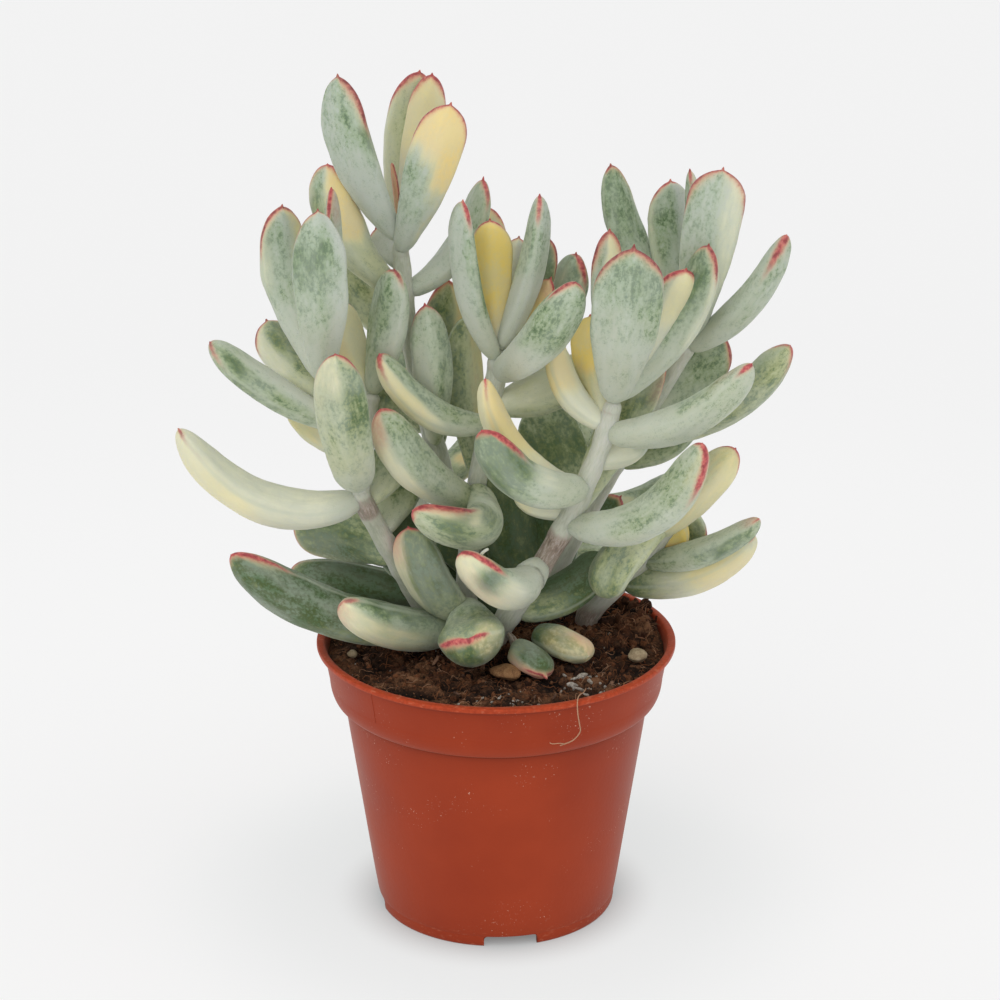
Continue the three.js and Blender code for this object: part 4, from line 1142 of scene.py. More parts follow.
def pot_outline():
    """The outline of the pot's shell as radius and height, from its underside up and back down inside."""
    foot_inside = FOOT_RADIUS - FOOT_RING
    shoulder = [
        (SHOULDER_RADIUS + 0.25, SHOULDER_BOTTOM + 0.02),
        (46.1, 65.5),
        (47.45, 66.7),
        (48.25, 68.6),
        (48.6, 70.5),
        (BAND_RADIUS, BAND_BOTTOM),
    ]
    outer = [(FOOT_RADIUS + 0.28, FLOOR_UNDERSIDE + 0.12), (FOOT_RADIUS + 0.44, 4.2),
             (FOOT_RADIUS + 0.66, 5.4)]
    outer += [(FOOT_RADIUS + 0.7 + (SHOULDER_RADIUS - 1.15 - FOOT_RADIUS) * u, 5.2 + 56.8 * u)
              for u in np.linspace(0.1, 0.9, 9)]
    outer += [(SHOULDER_RADIUS - inwards, SHOULDER_BOTTOM - down)
              for inwards, down in ((0.36, 2), (0.16, 0.7), (0.1, 0.25), (0.04, 0.05))]
    outer += smoothed(shoulder, 5)
    outer += [(BAND_RADIUS + (BAND_TOP_RADIUS - BAND_RADIUS) * u, BAND_BOTTOM + 9.1 * u)
              for u in (0.3, 0.6, 0.9)]
    outer += [(BAND_TOP_RADIUS + 0.05, 81.15), (BAND_TOP_RADIUS + 0.35, 81.45)]
    lip = [
        (LIP_RADIUS - 0.45, POT_HEIGHT - LIP_HEIGHT),
        (LIP_RADIUS - 0.12, POT_HEIGHT - LIP_HEIGHT + 0.12),
        (LIP_RADIUS, POT_HEIGHT - LIP_HEIGHT + 0.45),
        (LIP_RADIUS, POT_HEIGHT - 0.5),
        (LIP_RADIUS - 0.14, POT_HEIGHT - 0.14),
        (LIP_RADIUS - 0.5, POT_HEIGHT),
        (LIP_RADIUS - 1.2, POT_HEIGHT + 0.02),
        (LIP_INNER_RADIUS + 0.35, POT_HEIGHT),
        (LIP_INNER_RADIUS, POT_HEIGHT - 0.25),
    ]
    inner = [
        (BAND_TOP_RADIUS - WALL, 81),
        (BAND_RADIUS - WALL, BAND_BOTTOM),
        (48 - WALL, 69.3),
        (46.9 - WALL, 67.2),
        (SHOULDER_RADIUS - WALL, SHOULDER_BOTTOM),
        (FOOT_RADIUS + 0.5 - WALL, FLOOR_UNDERSIDE + WALL),
        (0.4, FLOOR_UNDERSIDE + WALL),
    ]
    foot = [
        (0.4, FLOOR_UNDERSIDE),
        (foot_inside - 0.2, FLOOR_UNDERSIDE),
        (foot_inside, FLOOR_UNDERSIDE - 0.3),
        (foot_inside, 0.3),
        (foot_inside + 0.25, 0),
        (FOOT_RADIUS - 0.6, 0),
        (FOOT_RADIUS - 0.25, 0.12),
        (FOOT_RADIUS, 0.5),
        (FOOT_RADIUS + 0.12, 1.4),
        (FOOT_RADIUS + 0.2, FLOOR_UNDERSIDE - 0.25),
        (FOOT_RADIUS + 0.2, FLOOR_UNDERSIDE - 0.05),
    ]
    return np.array(foot + outer + lip + inner)


def rounded_slot(width, height, radius, depth):
    """A block that cuts a notch: its two upper edges are rounded."""
    corners = [(-width / 2, -2.0), (width / 2, -2.0)]
    for centre, start in ((width / 2 - radius, 0), (radius - width / 2, 90)):
        for step in range(7):
            angle = math.radians(start + 15 * step)
            corners.append((centre + radius * math.cos(angle), height - radius + radius * math.sin(angle)))
    count = len(corners)
    points = [(0.0, x, z) for x, z in corners] + [(depth, x, z) for x, z in corners]
    faces = [list(range(count)), list(range(2 * count - 1, count - 1, -1))]
    faces += [[i, i + count, (i + 1) % count + count, (i + 1) % count] for i in range(count)]
    return np.array(points), faces


def cut(target, cutters):
    """Cuts the cutter objects out of the target's mesh, and removes them."""
    for cutter in cutters:
        modifier = target.modifiers.new("cut", "BOOLEAN")
        modifier.operation = "DIFFERENCE"
        modifier.solver = "EXACT"
        modifier.object = cutter
    evaluated = target.evaluated_get(bpy.context.evaluated_depsgraph_get())
    mesh = bpy.data.meshes.new_from_object(evaluated)
    target.modifiers.clear()
    target.data = mesh
    for cutter in cutters:
        bpy.data.objects.remove(cutter)


def make_pot():
    """The pot: its outline turned about its axis, with notches and drain holes cut out."""
    outline = pot_outline()
    angles = np.linspace(0, 2 * math.pi, POT_SIDES, endpoint=False)
    by_seam = (SEAM_TURN + np.radians([-0.35, -0.18, 0, 0.18, 0.35])) % (2 * math.pi)
    angles = np.sort(np.concatenate([angles, by_seam]))
    rings = np.stack(np.broadcast_arrays(
        outline[:, None, 0] * np.cos(angles), outline[:, None, 0] * np.sin(angles), outline[:, None, 1]), -1)
    radial = rings * [1, 1, 0] / outline[:, None, :1]
    height = rings[..., 2]
    outside = (outline[:, 0] > 34)[:, None]
    # a thin wall is never quite round, and a fine mould line stands on its band
    soft = ease(height, 4, 30) * outside
    wobble = 0.12 * ripple(rings * [1, 1, 0.5], 34.0, 4)
    seam = SEAM_HEIGHT * (np.abs((angles - SEAM_TURN) % (2 * math.pi)) < 1e-4)[None]
    seam = seam * (height > BAND_BOTTOM - 1) * (height < 81) * (outline[:, 0] > 48.5)[:, None]
    rings = rings + radial * (wobble * soft + seam)[..., None]
    outer_face = outline[:, 0] > np.interp(outline[:, 1], [0, 65, 72, 83], [33.5, 44.2, 48.3, 50])
    # the lip: painted brighter as a painted glow of light through its thin plastic, and scuffed
    lip = ease(height, 81.2, 81.7) * np.ones_like(height)
    # painted shade: a dark line in the corner under the lip
    line = 0.8 * np.exp(-(((height - 81.2) / 0.3) ** 2)) * outer_face[:, None]
    # painted shade in the corner under the band, fading out below it
    under = SHOULDER_BOTTOM - height
    line = line + 0.9 * np.exp(-((under / 0.4) ** 2)) * outer_face[:, None]
    line = line + 0.4 * np.exp(-np.abs(under) / 1.8) * (under > 0) * outer_face[:, None]
    line = line + 0.7 * (seam > 0)
    scuff = 0.8 * lip + 0.5 * ease(-height, -5.4, -3.4) * outer_face[:, None]
    wear = np.stack([lip, line, scuff, 0 * height], -1)
    whole = np.concatenate([rings, wear], -1)
    rows, sides = whole.shape[:2]
    i, j = np.meshgrid(np.arange(rows), np.arange(sides), indexing="ij")
    faces = np.stack([i * sides + j, i * sides + (j + 1) % sides,
                      (i + 1) % rows * sides + (j + 1) % sides, (i + 1) % rows * sides + j], -1)
    flat = whole.reshape(-1, 7)
    shells = Shells("wear")
    # the shell is closed by two small discs in the middle of its floor
    keep = faces[:-1].reshape(-1, 4).tolist()
    middle_under = len(flat)
    keep += [[middle_under, (k + 1) % sides, k] for k in range(sides)]
    last = (rows - 1) * sides
    keep += [[middle_under + 1, last + k, last + (k + 1) % sides] for k in range(sides)]
    ends = np.zeros((2, 7))
    ends[0, 2] = FLOOR_UNDERSIDE
    ends[1, 2] = FLOOR_UNDERSIDE + WALL
    flat = np.concatenate([flat, ends])
    shells.add(flat[:, :3], keep, wear=flat[:, 3:])
    pot = shells.build("pot_fine", pot_material(), 40)
    cutters = []
    for i in range(NOTCHES):
        spin = about_z(math.radians(NOTCH_TURN - 90 + 360 / NOTCHES * i))
        points, slot_faces = rounded_slot(NOTCH_WIDTH, FLOOR_UNDERSIDE - 0.1, 1.1, 8)
        points = points + [FOOT_RADIUS - 6.5, 0, 0]
        block = Shells()
        block.add(points @ spin.T, slot_faces)
        cutters.append(block.build(f"notch_{i}", pot.data.materials[0]))
        around = np.linspace(0, 2 * math.pi, DRAIN_SIDES, endpoint=False)
        drain = np.stack([
            np.stack([DRAIN_HOLE_RADIUS * np.cos(around) + DRAIN_HOLE_OFFSET,
                      DRAIN_HOLE_RADIUS * np.sin(around), np.full(DRAIN_SIDES, z)], -1) @ spin.T
            for z in (FLOOR_UNDERSIDE - 2, FLOOR_UNDERSIDE + 4)
        ])
        block = Shells()
        block.add(*tube_points(drain))
        cutters.append(block.build(f"drain_{i}", pot.data.materials[0]))
    cut(pot, cutters)
    dress(pot, "pot_plastic", "pot")


make_pot()


# Soil


def soil_rise(x, y):
    """The CAD model's own soil surface above its general level."""
    swell = 0.7 * np.sin(0.19 * x + 1.3) * np.cos(0.16 * y - 0.4)
    lumps = 0.4 * np.sin(0.43 * x - 0.31 * y)
    mound = 3.2 * np.exp(-((x - 42) ** 2 + (y - 17) ** 2) / 110)
    return swell + lumps + mound


def grains(x, y, size, seed):
    """The tops of rounded grains lying side by side, each with its own height, from 0 to 1."""
    column, row = np.floor(x / size), np.floor(y / size)
    highest = np.zeros(np.shape(x))
    for step_x in (-1, 0, 1):
        for step_y in (-1, 0, 1):
            here = (column + step_x).astype(np.int64), (row + step_y).astype(np.int64)
            shares = [lattice(*here, np.full(np.shape(x), layer), seed) for layer in range(4)]
            apart = np.hypot(x / size - column - step_x - shares[0], y / size - row - step_y - shares[1])
            round_top = np.sqrt(np.clip(1 - (apart / (0.45 + 0.35 * shares[3])) ** 2, 0, 1))
            highest = np.maximum(highest, round_top * (0.35 + 0.65 * shares[2]))
    return highest


def soil_height(x, y):
    """The soil's surface with its clods, crumbs and hollows."""
    flat = np.stack([x, y, 0 * x], -1)
    drift = ripple(flat, 3.0, 43, 2)
    shifted_x, shifted_y = x + 0.8 * drift, y + 0.8 * ripple(flat, 3.0, 44, 2)
    rough = 1.2 * ripple(flat, 8.0, 31, 3) + 0.5 * ripple(flat, 1.6, 37, 2)
    clods = 1.9 * (grains(shifted_x, shifted_y, 5.2, 32) - 0.6) * ease(ripple(flat, 11.0, 33), -0.5, 0.4)
    crumbs = 0.8 * (grains(shifted_x, shifted_y, 1.9, 34) - 0.4) + 0.3 * grains(x, y, 0.9, 35)
    pits = 2.2 * np.clip(ripple(flat, 5.0, 47, 2) - 0.3, 0, 1)
    hollow = 2.2 * np.exp(-((x - 36) ** 2 / 22 + (y + 5) ** 2 / 12))
    return SOIL_TOP + soil_rise(x, y) + rough + clods + crumbs - pits - hollow


def soil_material(name):
    """Damp peat, painted nearly black in its hollows as painted shade, with brown clods, red-brown fibres and
    pale specks.
    """
    s = Shader(name)
    shade, warmth, pale, spare = s.painted("shade")
    place = s.object_place(IN_MM)
    broad = s.noise(place, 0.2, 3.0, 0.6)
    fine = s.noise(place, 1.5, 5.0, 0.7)
    grit = s.noise(place, 4.2, 3.0, 0.65)
    fibre = s.noise(s.scaled(place, (0.5, 3.4, 1.4)), 1.3, 4.0, 0.75, 1.2)
    # the painted value darkens the hollows as painted shade, on top of a random tone
    shading = s.times(s.plus(shade, -0.5), 0.6)
    value = s.plus(s.times(fine, 0.65), s.times(broad, 0.3), shading, s.times(grit, 0.25), -0.12)
    colour = s.ramp(
        value,
        (0.28, 22, 14, 10),
        (0.43, 56, 37, 26),
        (0.57, 100, 68, 47),
        (0.75, 150, 108, 78),
    )
    reddish = s.ramp(value, (0.3, 40, 22, 14), (0.5, 92, 54, 34), (0.7, 140, 88, 56))
    colour = s.blend(s.times(s.span(s.plus(fibre, s.times(warmth, 0.3)), 0.52, 0.76), 0.75), colour, reddish)
    colour = s.blend(s.times(s.span(grit, 0.66, 0.74), 0.75), colour, linear(168, 138, 108))
    colour = s.blend(pale, colour, s.ramp(fine, (0.32, 140, 128, 114), (0.58, 216, 209, 198)))
    colour = s.blend(spare, colour, linear(206, 162, 130))
    normal = s.bump(s.plus(fine, s.times(grit, 0.6)), 0.0008, 0.9)
    return s.finish(colour, 0.9, normal, Specular_IOR_Level=0.2)


def make_soil():
    """The body of soil, with its uneven top inside the pot's wall."""
    rows, sides = SOIL_ROWS, SOIL_SIDES
    edge = BAND_TOP_RADIUS - WALL - 0.6
    radii = np.concatenate([np.linspace(0.6, edge - 0.3, rows), [edge]])
    angles = np.linspace(0, 2 * math.pi, sides, endpoint=False)
    x = radii[:, None] * np.cos(angles)
    y = radii[:, None] * np.sin(angles)
    z = soil_height(x, y)
    rim = ease(radii, edge - 2.5, edge)[:, None]
    z = z * (1 - 0.6 * rim) + (SOIL_TOP - 0.6 + 0.5 * soil_rise(x, y)) * 0.6 * rim
    top = np.stack([x, y, z], -1)
    wall = [(BAND_RADIUS - WALL - 0.5, BAND_BOTTOM), (SHOULDER_RADIUS - WALL - 0.5, SHOULDER_BOTTOM),
            (FOOT_RADIUS - WALL, FLOOR_UNDERSIDE + WALL + 0.4), (0.6, FLOOR_UNDERSIDE + WALL + 0.4)]
    sides_down = [np.stack([r * np.cos(angles), r * np.sin(angles), np.full(sides, h)], -1) for r, h in wall]
    rings = np.concatenate([top, np.stack(sides_down)])
    points, faces = tube_points(rings)
    level = SOIL_TOP + soil_rise(points[:, 0], points[:, 1])
    # painted shade: the value is lower in the soil's hollows and higher on its lumps, on top of a random tone
    shade = 0.5 + 0.35 * ripple(points, 9.0, 53, 2) + 0.22 * np.clip(points[:, 2] - level, -2, 2)
    warmth = ease(ripple(points, 7.0, 59, 2), 0.0, 0.6)
    values = np.stack([shade, warmth, 0 * shade, 0 * shade], -1)
    soil = Shells("shade")
    soil.add(points, faces, shade=values)
    piece = soil.build("soil_fine", soil_material("soil"))
    dress(piece, "soil", "soil")


def lump(seed, subdivisions=2):
    """A small uneven grain: a finely divided ball pushed about by noise."""
    maker = bmesh.new()
    bmesh.ops.create_icosphere(maker, subdivisions=subdivisions, radius=1)
    points = np.array([vertex.co[:] for vertex in maker.verts])
    faces = [[vertex.index for vertex in face.verts] for face in maker.faces]
    maker.free()
    pushed = 0.6 * ripple(points + seed * 3.7, 0.9, seed, subdivisions)
    return points * (1 + pushed[:, None]) * [1, 0.8, 0.65], faces


def spun(points, draw):
    """Turns points at random."""
    turn = unit(draw.normal(size=4))
    w, x, y, z = turn
    matrix = np.array([
        [1 - 2 * (y * y + z * z), 2 * (x * y - z * w), 2 * (x * z + y * w)],
        [2 * (x * y + z * w), 1 - 2 * (x * x + z * z), 2 * (y * z - x * w)],
        [2 * (x * z - y * w), 2 * (y * z + x * w), 1 - 2 * (x * x + y * y)],
    ])
    return points @ matrix.T


GROUND_STEP = 0.4
GROUND_REACH = 52
GROUND_LINES = np.arange(-GROUND_REACH, GROUND_REACH, GROUND_STEP)
GROUND = soil_height(*np.meshgrid(GROUND_LINES, GROUND_LINES, indexing="ij"))


def ground_at(x, y):
    """The height of the soil under a place, from a table of it that is worked out once."""
    return GROUND[round((x + GROUND_REACH) / GROUND_STEP), round((y + GROUND_REACH) / GROUND_STEP)]


def strand(points, radius, sides=6, even=False):
    """A thin round fibre through the given points, tapered unless it is even."""
    points = np.asarray(points, float)
    along = unit(np.gradient(points, axis=0))
    helper = np.array([0.31, 0.22, 0.93])
    side = unit(np.cross(along, helper))
    out = np.cross(side, along)
    turn = np.linspace(0, 2 * math.pi, sides, endpoint=False)
    ring = circles(side, out, turn)
    taper = 1 if even else 0.4 + 0.6 * np.sin(np.linspace(0.15, math.pi - 0.15, len(points)))
    return tube_points(points[:, None] + ring * (radius * taper * np.ones(len(points)))[:, None, None])


draw = np.random.default_rng(5)
LUMPS = {fine: [lump(seed, fine) for seed in range(LUMP_SHAPES)] for fine in (2, 3)}


def anywhere(reach):
    """A random place on the soil."""
    radius, angle = reach * math.sqrt(draw.random()), draw.random() * 2 * math.pi
    return radius * math.cos(angle), radius * math.sin(angle)


def grain(litter, x, y, size, values, fine=2, sink=0.25, squash=(1, 1, 1)):
    """Adds one grain, turned at random and sunk a little into the soil."""
    points, faces = LUMPS[fine][draw.integers(LUMP_SHAPES)]
    points = spun(points * squash, draw) * size
    litter.add(points + [x, y, ground_at(x, y) + size * (0.5 - sink)], faces, shade=values)


def scatter_crumbs():
    """Peat crumbs and perlite."""
    crumbs = Shells("shade")
    for _ in range(CRUMBS):
        x, y = anywhere(48.2)
        size = 0.25 + 0.7 * draw.random() ** 3
        grain(crumbs, x, y, size, [0.35 + 0.6 * draw.random(), float(draw.random() < 0.4), 0, 0])
    # perlite, mostly in two loose patches at the front
    for _ in range(24):
        x, y = 1 + draw.normal() * 7, -42 + draw.normal() * 2.4
        grain(crumbs, x, y, 0.25 + 0.3 * draw.random(), [0.5, 0, 0.6 + 0.4 * draw.random(), 0])
    for _ in range(20):
        x, y = 27 + draw.normal() * 4.5, -31 + draw.normal() * 4.5
        grain(crumbs, x, y, 0.3 + 0.5 * draw.random(), [0.5, 0, 0.55 + 0.3 * draw.random(), 0])
    for _ in range(SPECKS):
        x, y = anywhere(47)
        grain(crumbs, x, y, 0.15 + 0.25 * draw.random(), [0.5, 0, 0.75, 0])
    dress(crumbs.build("soil_crumbs", soil_material("soil_crumb")), "soil")


def scatter_clods():
    """Clods, bits of bark, flat perlite, and soil heaped against the wall."""
    clods = Shells("shade")
    for _ in range(CLODS):
        x, y = anywhere(46.5)
        size = 0.8 + 1.0 * draw.random() ** 2
        values = [0.25 + 0.5 * draw.random(), float(draw.random() < 0.45), 0, 0]
        grain(clods, x, y, size, values, fine=3, sink=0.45)
    # red-brown clods in the mound by the right stem, and flat bits of bark
    for _ in range(MOUND_CLODS):
        x, y = MOUND[0] + draw.normal() * 5, MOUND[1] + draw.normal() * 7
        if math.hypot(x, y) < 45:
            squash = 0.5 + 0.5 * draw.random(3)
            values = [0.4 + 0.3 * draw.random(), 1, 0, 0]
            grain(clods, x, y, 1.4 + 1.4 * draw.random(), values, fine=3, sink=0.4, squash=squash)
    for _ in range(BARK_BITS):
        x, y = anywhere(45)
        values = [0.5 + 0.5 * draw.random(), 0.6, 0.12, 0]
        grain(clods, x, y, 1.3 + draw.random(), values, fine=3, sink=0.15, squash=(1, 0.45, 0.22))
    # the flat grey bits of perlite to the right of the loose leaves
    for x, y, size in ((24.5, -25, 1.7), (22.2, -26, 1.4), (26.2, -23.5, 1.1), (19.5, -24.6, 0.9),
                       (21.6, -31, 1.5), (23.4, -34.4, 1.4), (25.2, -35.2, 1), (18.2, -31.5, 0.9)):
        grain(clods, x, y, size, [0.6, 0, 0.85, 0], fine=3, sink=0.15, squash=(1, 0.6, 0.5))
    # soil heaped against the wall behind the mound, up to the lip
    for _ in range(HEAPED_CLODS):
        angle, radius = math.radians(29 + 6 * draw.normal()), 50.3 - 5 * draw.random()
        x, y = radius * math.cos(angle), radius * math.sin(angle)
        points, faces = LUMPS[3][draw.integers(LUMP_SHAPES)]
        values = [0.3 + 0.4 * draw.random(), float(draw.random() < 0.6), 0, 0]
        height = POT_HEIGHT - 1.8 + 2.8 * draw.random()
        clods.add(spun(points, draw) * (0.7 + 0.9 * draw.random()) + [x, y, height], faces, shade=values)
    dress(clods.build("soil_clods", soil_material("soil_clod")), "soil")


def scatter_fibres():
    """Peat fibres, lying and standing, and a few thin roots."""
    fibres = Shells("shade")
    for _ in range(FIBRES):
        x, y = anywhere(47.5)
        heading, bend = draw.random() * 2 * math.pi, draw.normal() * 0.9
        length = 1.5 + 6 * draw.random() ** 2
        lift = 0.3 + 1.1 * draw.random() ** 2
        line = []
        for u in np.linspace(-0.5, 0.5, 7):
            turn = heading + bend * u
            px, py = x + math.cos(turn) * u * length, y + math.sin(turn) * u * length
            if math.hypot(px, py) > 48.3:
                continue
            line.append((px, py, ground_at(px, py) + 0.1 + lift * draw.random() * (1 - 4 * u * u)))
        if len(line) > 4:
            pale = draw.random() < 0.2
            values = [0.6 + 0.6 * draw.random(), 1.0, 0, 0.6 if pale else 0.0]
            fibres.add(*strand(line, 0.06 + 0.09 * draw.random(), 5), shade=values)
    # short fibres that stand out of the mound every way
    for _ in range(STANDING_FIBRES):
        x, y = MOUND[0] + draw.normal() * 5, MOUND[1] + 1 + draw.normal() * 8
        if math.hypot(x, y) < 46:
            foot = np.array([x, y, ground_at(x, y) + 0.2 + 1.2 * draw.random()])
            reach = unit(draw.normal(size=3) * [1, 1, 0.5]) * (1.5 + 2.5 * draw.random())
            bent = reach / 2 + draw.normal(size=3) * 0.4
            line = bezier([foot, foot + bent, foot + reach], np.linspace(0, 1, 6))[0]
            values = [0.6 + 0.5 * draw.random(), 1.0, 0, 0.3 * draw.random()]
            fibres.add(*strand(line, 0.08 + 0.1 * draw.random(), 5), shade=values)
    # fine roots that stick up out of the mound
    for x, y, lean in ((44, 14, (0.5, -1.5, 4)), (41, 9, (-1.5, -1, 3.2)), (45, 8, (1.5, -2, 2.6)),
                       (37, 15, (-3, -1, 2))):
        foot = np.array([x, y, ground_at(x, y) - 0.5])
        line = bezier([foot, foot + [0, 0, 3], foot + lean], np.linspace(0, 1, 9))[0]
        fibres.add(*strand(line, 0.13), shade=[0.9, 0.8, 0, 0.5])
    # a thin dry root that hangs over the lip at the front, with a short branch
    root = [(25.2, -37, 82.6), (24.4, -41, 83.2), (23.2, -44.5, 84), (22.6, -47.2, 83.4), (22.7, -48.3, 80),
            (23.2, -47.6, 76.6), (23.4, -47.2, 74), (21.6, -47.9, 71.9), (19.2, -48.2, 70.8),
            (17.8, -48.2, 70.3)]
    fibres.add(*strand(smoothed(root, 6), 0.17, even=True), shade=[1.5, 0.4, 0, 0.95])
    branch = [(19.2, -48.2, 70.8), (17.6, -48.9, 71.3), (15.8, -49.1, 71.2), (14.9, -49.2, 71.6)]
    fibres.add(*strand(smoothed(branch, 5), 0.13, even=True), shade=[1.5, 0.4, 0, 0.95])
    dress(fibres.build("soil_fibres", soil_material("soil_fibre")), "soil")


make_soil()
scatter_crumbs()
scatter_clods()
scatter_fibres()


# Loose leaves and grit


def loose_leaf(node, slot, root, tip, width, thickness, patches, stub=None, **looks):
    shells = Shells(*SKIN_VALUES)
    add_leaf(shells, root, tip, [0, 0, 0.4], width, thickness, patches, **looks)
    if stub:
        add_stem(shells, [root, *stub], 1.5, 0.7, [], wood=0.9, seed=looks["seed"])
    dress(shells.build(f"{node}_fine", leaf_material(slot)), slot, node)


loose_leaf("fallen_leaf_pointed", "fallen_leaf_green", [5.8, -10.5, 84.4], [14.4, -31.5, 83.2], 12.5, 8,
           [("dark", 0.1, 0.9, "UR", 0.1, 0.6), ("olive", 0, 1), ("gold", 0.3, 0.97, "DL", 0.35, 0.5),
            ("pink", 0.4, 1, "DL", 0.5, 0.6), ("pink", 0.75, 1, "D", -0.1, 0.8)],
           stub=[[5, -9, 84.9], [4.4, -7, 86], [3.2, -6.5, 86.6]],
           rim=(0.7, 0.4), ripe=0.6, green=0.85, neck=0.3, widest=0.5, point=3, seed=951,
           face=(0.3, 0.8, 0.5))
loose_leaf("fallen_leaf_cream", "fallen_leaf_cream", [11.8, -3.5, 85.2], [26.5, -20.5, 85.2], 11, 9.5,
           [("lime", 0.35, 1), ("cream", 0.5, 0.97, "R", -0.2, 0.8), ("dark", 0, 0.55, "L", -0.8, 0.9),
            ("pink", 0.62, 0.97, "UR", 0.35, 0.6), ("olive", 0, 1)],
           rim=None, green=0.8, neck=0.75, point=0.3, seed=952)


def stone_material(name, dark, middle, light):
    """Grainy stone, in three plain colours from its dark grains to its light ones."""
    s = Shader(name)
    place = s.object_place(IN_MM)
    broad = s.noise(place, 0.5, 4.0, 0.65)
    fine = s.noise(place, 3.0, 4.0, 0.7)
    speckle = s.plus(s.times(broad, 0.55), s.times(fine, 0.45))
    colour = s.ramp(speckle, (0.36, *dark), (0.5, *middle), (0.64, *light))
    normal = s.bump(s.plus(broad, s.times(fine, 0.5)), 0.0005, 0.7)
    return s.finish(colour, 0.85, normal, Specular_IOR_Level=0.3)


def stone(node, slot, centre, size, turn, seed, material):
    """A rounded stone: the CAD stone's own shape, with a chipped and pitted surface."""
    points, faces = lump(seed, 5)
    direction = unit(points)
    x, y, z = direction.T
    swell = 1 + 0.09 * np.sin(3.1 * x + 2.3 * y) + 0.06 * np.sin(4.3 * z - 2 * y)
    swell = swell + 0.07 * ripple(direction, 0.7, seed, 3) + 0.04 * ripple(direction, 0.22, seed + 4, 2)
    points = direction * swell[:, None] * np.asarray(size) / 2
    shells = Shells()
    shells.add(points @ about_z(math.radians(turn)).T + centre, faces)
    dress(shells.build(f"{node}_fine", material), slot, node)


brown = stone_material("stone_brown", (94, 64, 42), (140, 102, 68), (176, 136, 94))
beige = stone_material("stone_beige", (118, 102, 78), (156, 138, 110), (186, 170, 142))
stone("stone_brown", "stone_brown", [2.8, -25.5, 82.6], [9, 6, 4], -25, 61, brown)
stone("stone_beige", "stone_beige", [40.5, -13.5, 82.6], [5.4, 4.8, 4], 20, 62, beige)
stone("stone_small", "stone_beige", [-41.5, -11, 82.1], [2.8, 2.4, 2.4], 0, 63, beige)


# Stage, light and camera

FLOOR_SHADE = 0.36
FLOOR_GLOW = 0.558
# the floor's glow is dimmed under and close round the pot: a painted shadow
GLOW_IN_PAINTED_SHADOW = 0.2
PAINTED_SHADOW_NEAR = 0.022
PAINTED_SHADOW_FAR = 0.05
# painted light: the floor's glow is raised a little in a ring round the plant
PAINTED_LIGHT_LIFT = 0.036
PAINTED_LIGHT_RISE = (0.06, 0.11)
PAINTED_LIGHT_FALL = (0.15, 0.6)
# painted light: the floor's glow is less red near the pot, against the pot's red bounce light
FADE_OF_TINT_AGAINST_BOUNCE = (0.03, 0.13)
TINT_AGAINST_POT_BOUNCE = (0.945, 1.0, 1.0, 1.0)
FLOOR_REACH = 14
WORLD_STRENGTH = 0.62
SENSOR_WIDTH = 36
VIEW_END = 50


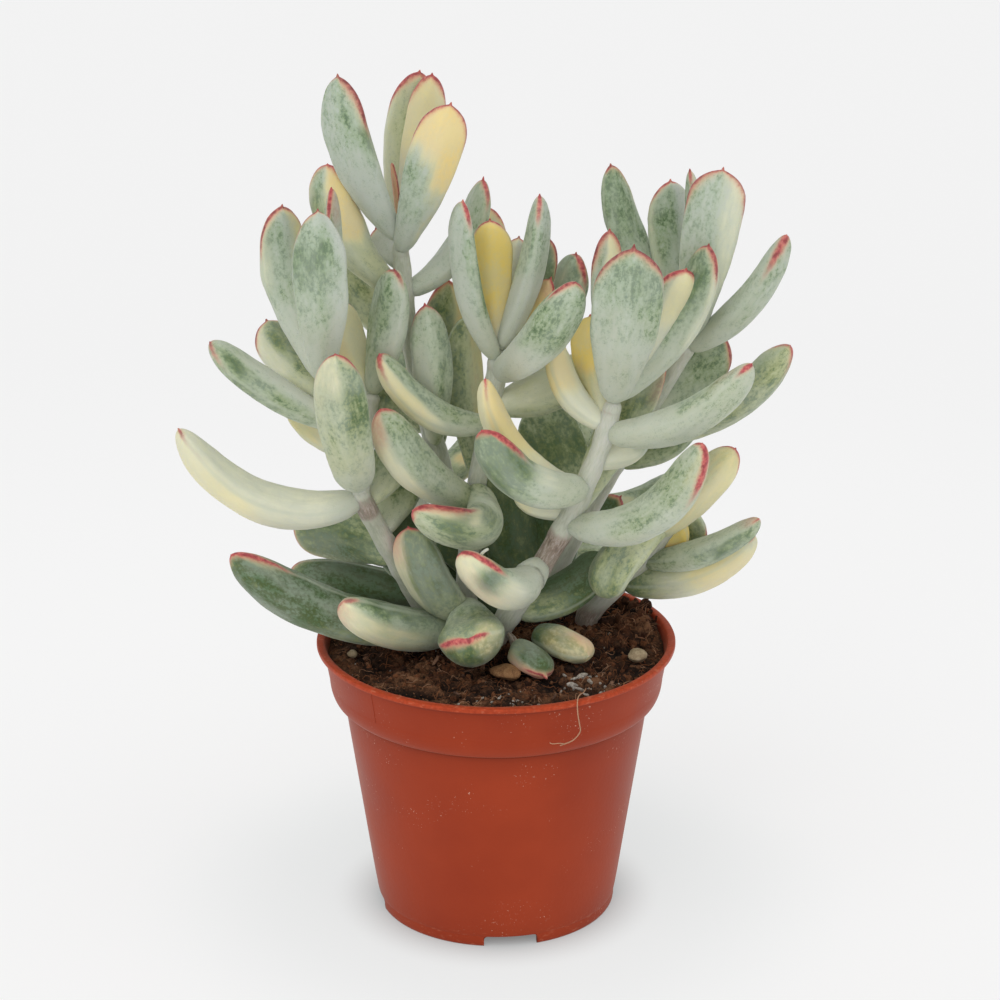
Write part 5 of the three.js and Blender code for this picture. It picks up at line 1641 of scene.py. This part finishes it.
def stage_material():
    """A pale floor that glows a little, as a lit studio table does, so its shadow stays soft; a painted shadow
    dims it by the pot.
    """
    s = Shader("floor")
    from_axis = s.object_place()
    shifted = s.add("ShaderNodeVectorMath", operation="SUBTRACT")
    s.feed(shifted.inputs[0], from_axis)
    shifted.inputs[1].default_value = tuple(POT_AXIS)
    distance = s.add("ShaderNodeVectorMath", operation="LENGTH")
    s.feed(distance.inputs[0], shifted.outputs[0])
    distance = distance.outputs["Value"]
    # painted shadow: the glow falls to a fifth under the pot and close round it
    glow = s.span(distance, PAINTED_SHADOW_NEAR, PAINTED_SHADOW_FAR, GLOW_IN_PAINTED_SHADOW * FLOOR_GLOW, FLOOR_GLOW)
    # painted light: a little more glow round the plant, which keeps some light off the floor there
    lift = s.times(s.span(distance, *PAINTED_LIGHT_RISE), s.span(distance, *PAINTED_LIGHT_FALL, PAINTED_LIGHT_LIFT, 0.0))
    glow = s.plus(glow, lift)
    material = s.finish((FLOOR_SHADE, FLOOR_SHADE, FLOOR_SHADE, 1.0), 0.9, Specular_IOR_Level=0.1)
    shader = s.tree.nodes["Principled BSDF"]
    # painted light: less red glow near the pot, which already throws its own colour on the floor
    tint = s.blend(s.span(distance, *FADE_OF_TINT_AGAINST_BOUNCE), TINT_AGAINST_POT_BOUNCE, (1.0, 1.0, 1.0, 1.0))
    s.feed(shader.inputs["Emission Color"], tint)
    s.feed(shader.inputs["Emission Strength"], glow)
    return material


floor_mesh = bpy.data.meshes.new("floor")
floor_corners = [(x * FLOOR_REACH, y * FLOOR_REACH, 0) for x, y in ((-1, -1), (1, -1), (1, 1), (-1, 1))]
floor_mesh.from_pydata(floor_corners, [], [(0, 1, 2, 3)])
floor_mesh.materials.append(stage_material())
floor = bpy.data.objects.new("floor", floor_mesh)
bpy.context.scene.collection.objects.link(floor)

world = bpy.data.worlds.new("studio")
bpy.context.scene.world = world
world.use_nodes = True
world.node_tree.nodes["Background"].inputs[0].default_value = (1, 1, 1, 1)
world.node_tree.nodes["Background"].inputs[1].default_value = WORLD_STRENGTH
bpy.context.scene.view_settings.view_transform = "Standard"


def soft_light(name, direction, strength, spread):
    """A very large soft light from far away, shining along a direction."""
    data = bpy.data.lights.new(name, "SUN")
    data.energy = strength
    data.angle = math.radians(spread)
    light = bpy.data.objects.new(name, data)
    light.rotation_euler = Vector(direction).to_track_quat("-Z", "Y").to_euler()
    bpy.context.scene.collection.objects.link(light)


soft_light("key", (0.45, 0.6, -1), 0.62, 50)
soft_light("front", (0.15, 1, -0.35), 0.5, 60)
soft_light("fill", (-0.8, 0.35, -0.9), 0.35, 60)

camera_data = bpy.data.cameras.new("camera")
camera_data.lens = CAMERA_LENS
camera_data.sensor_width = SENSOR_WIDTH
camera_data.clip_end = VIEW_END
camera = bpy.data.objects.new("camera", camera_data)
camera.location = Vector((CAMERA_AIM - VIEW_AWAY * CAMERA_DISTANCE) * MM + POT_AXIS)
camera.rotation_euler = (math.pi / 2 - CAMERA_TILT, 0, 0)
bpy.context.scene.collection.objects.link(camera)
bpy.context.scene.camera = camera
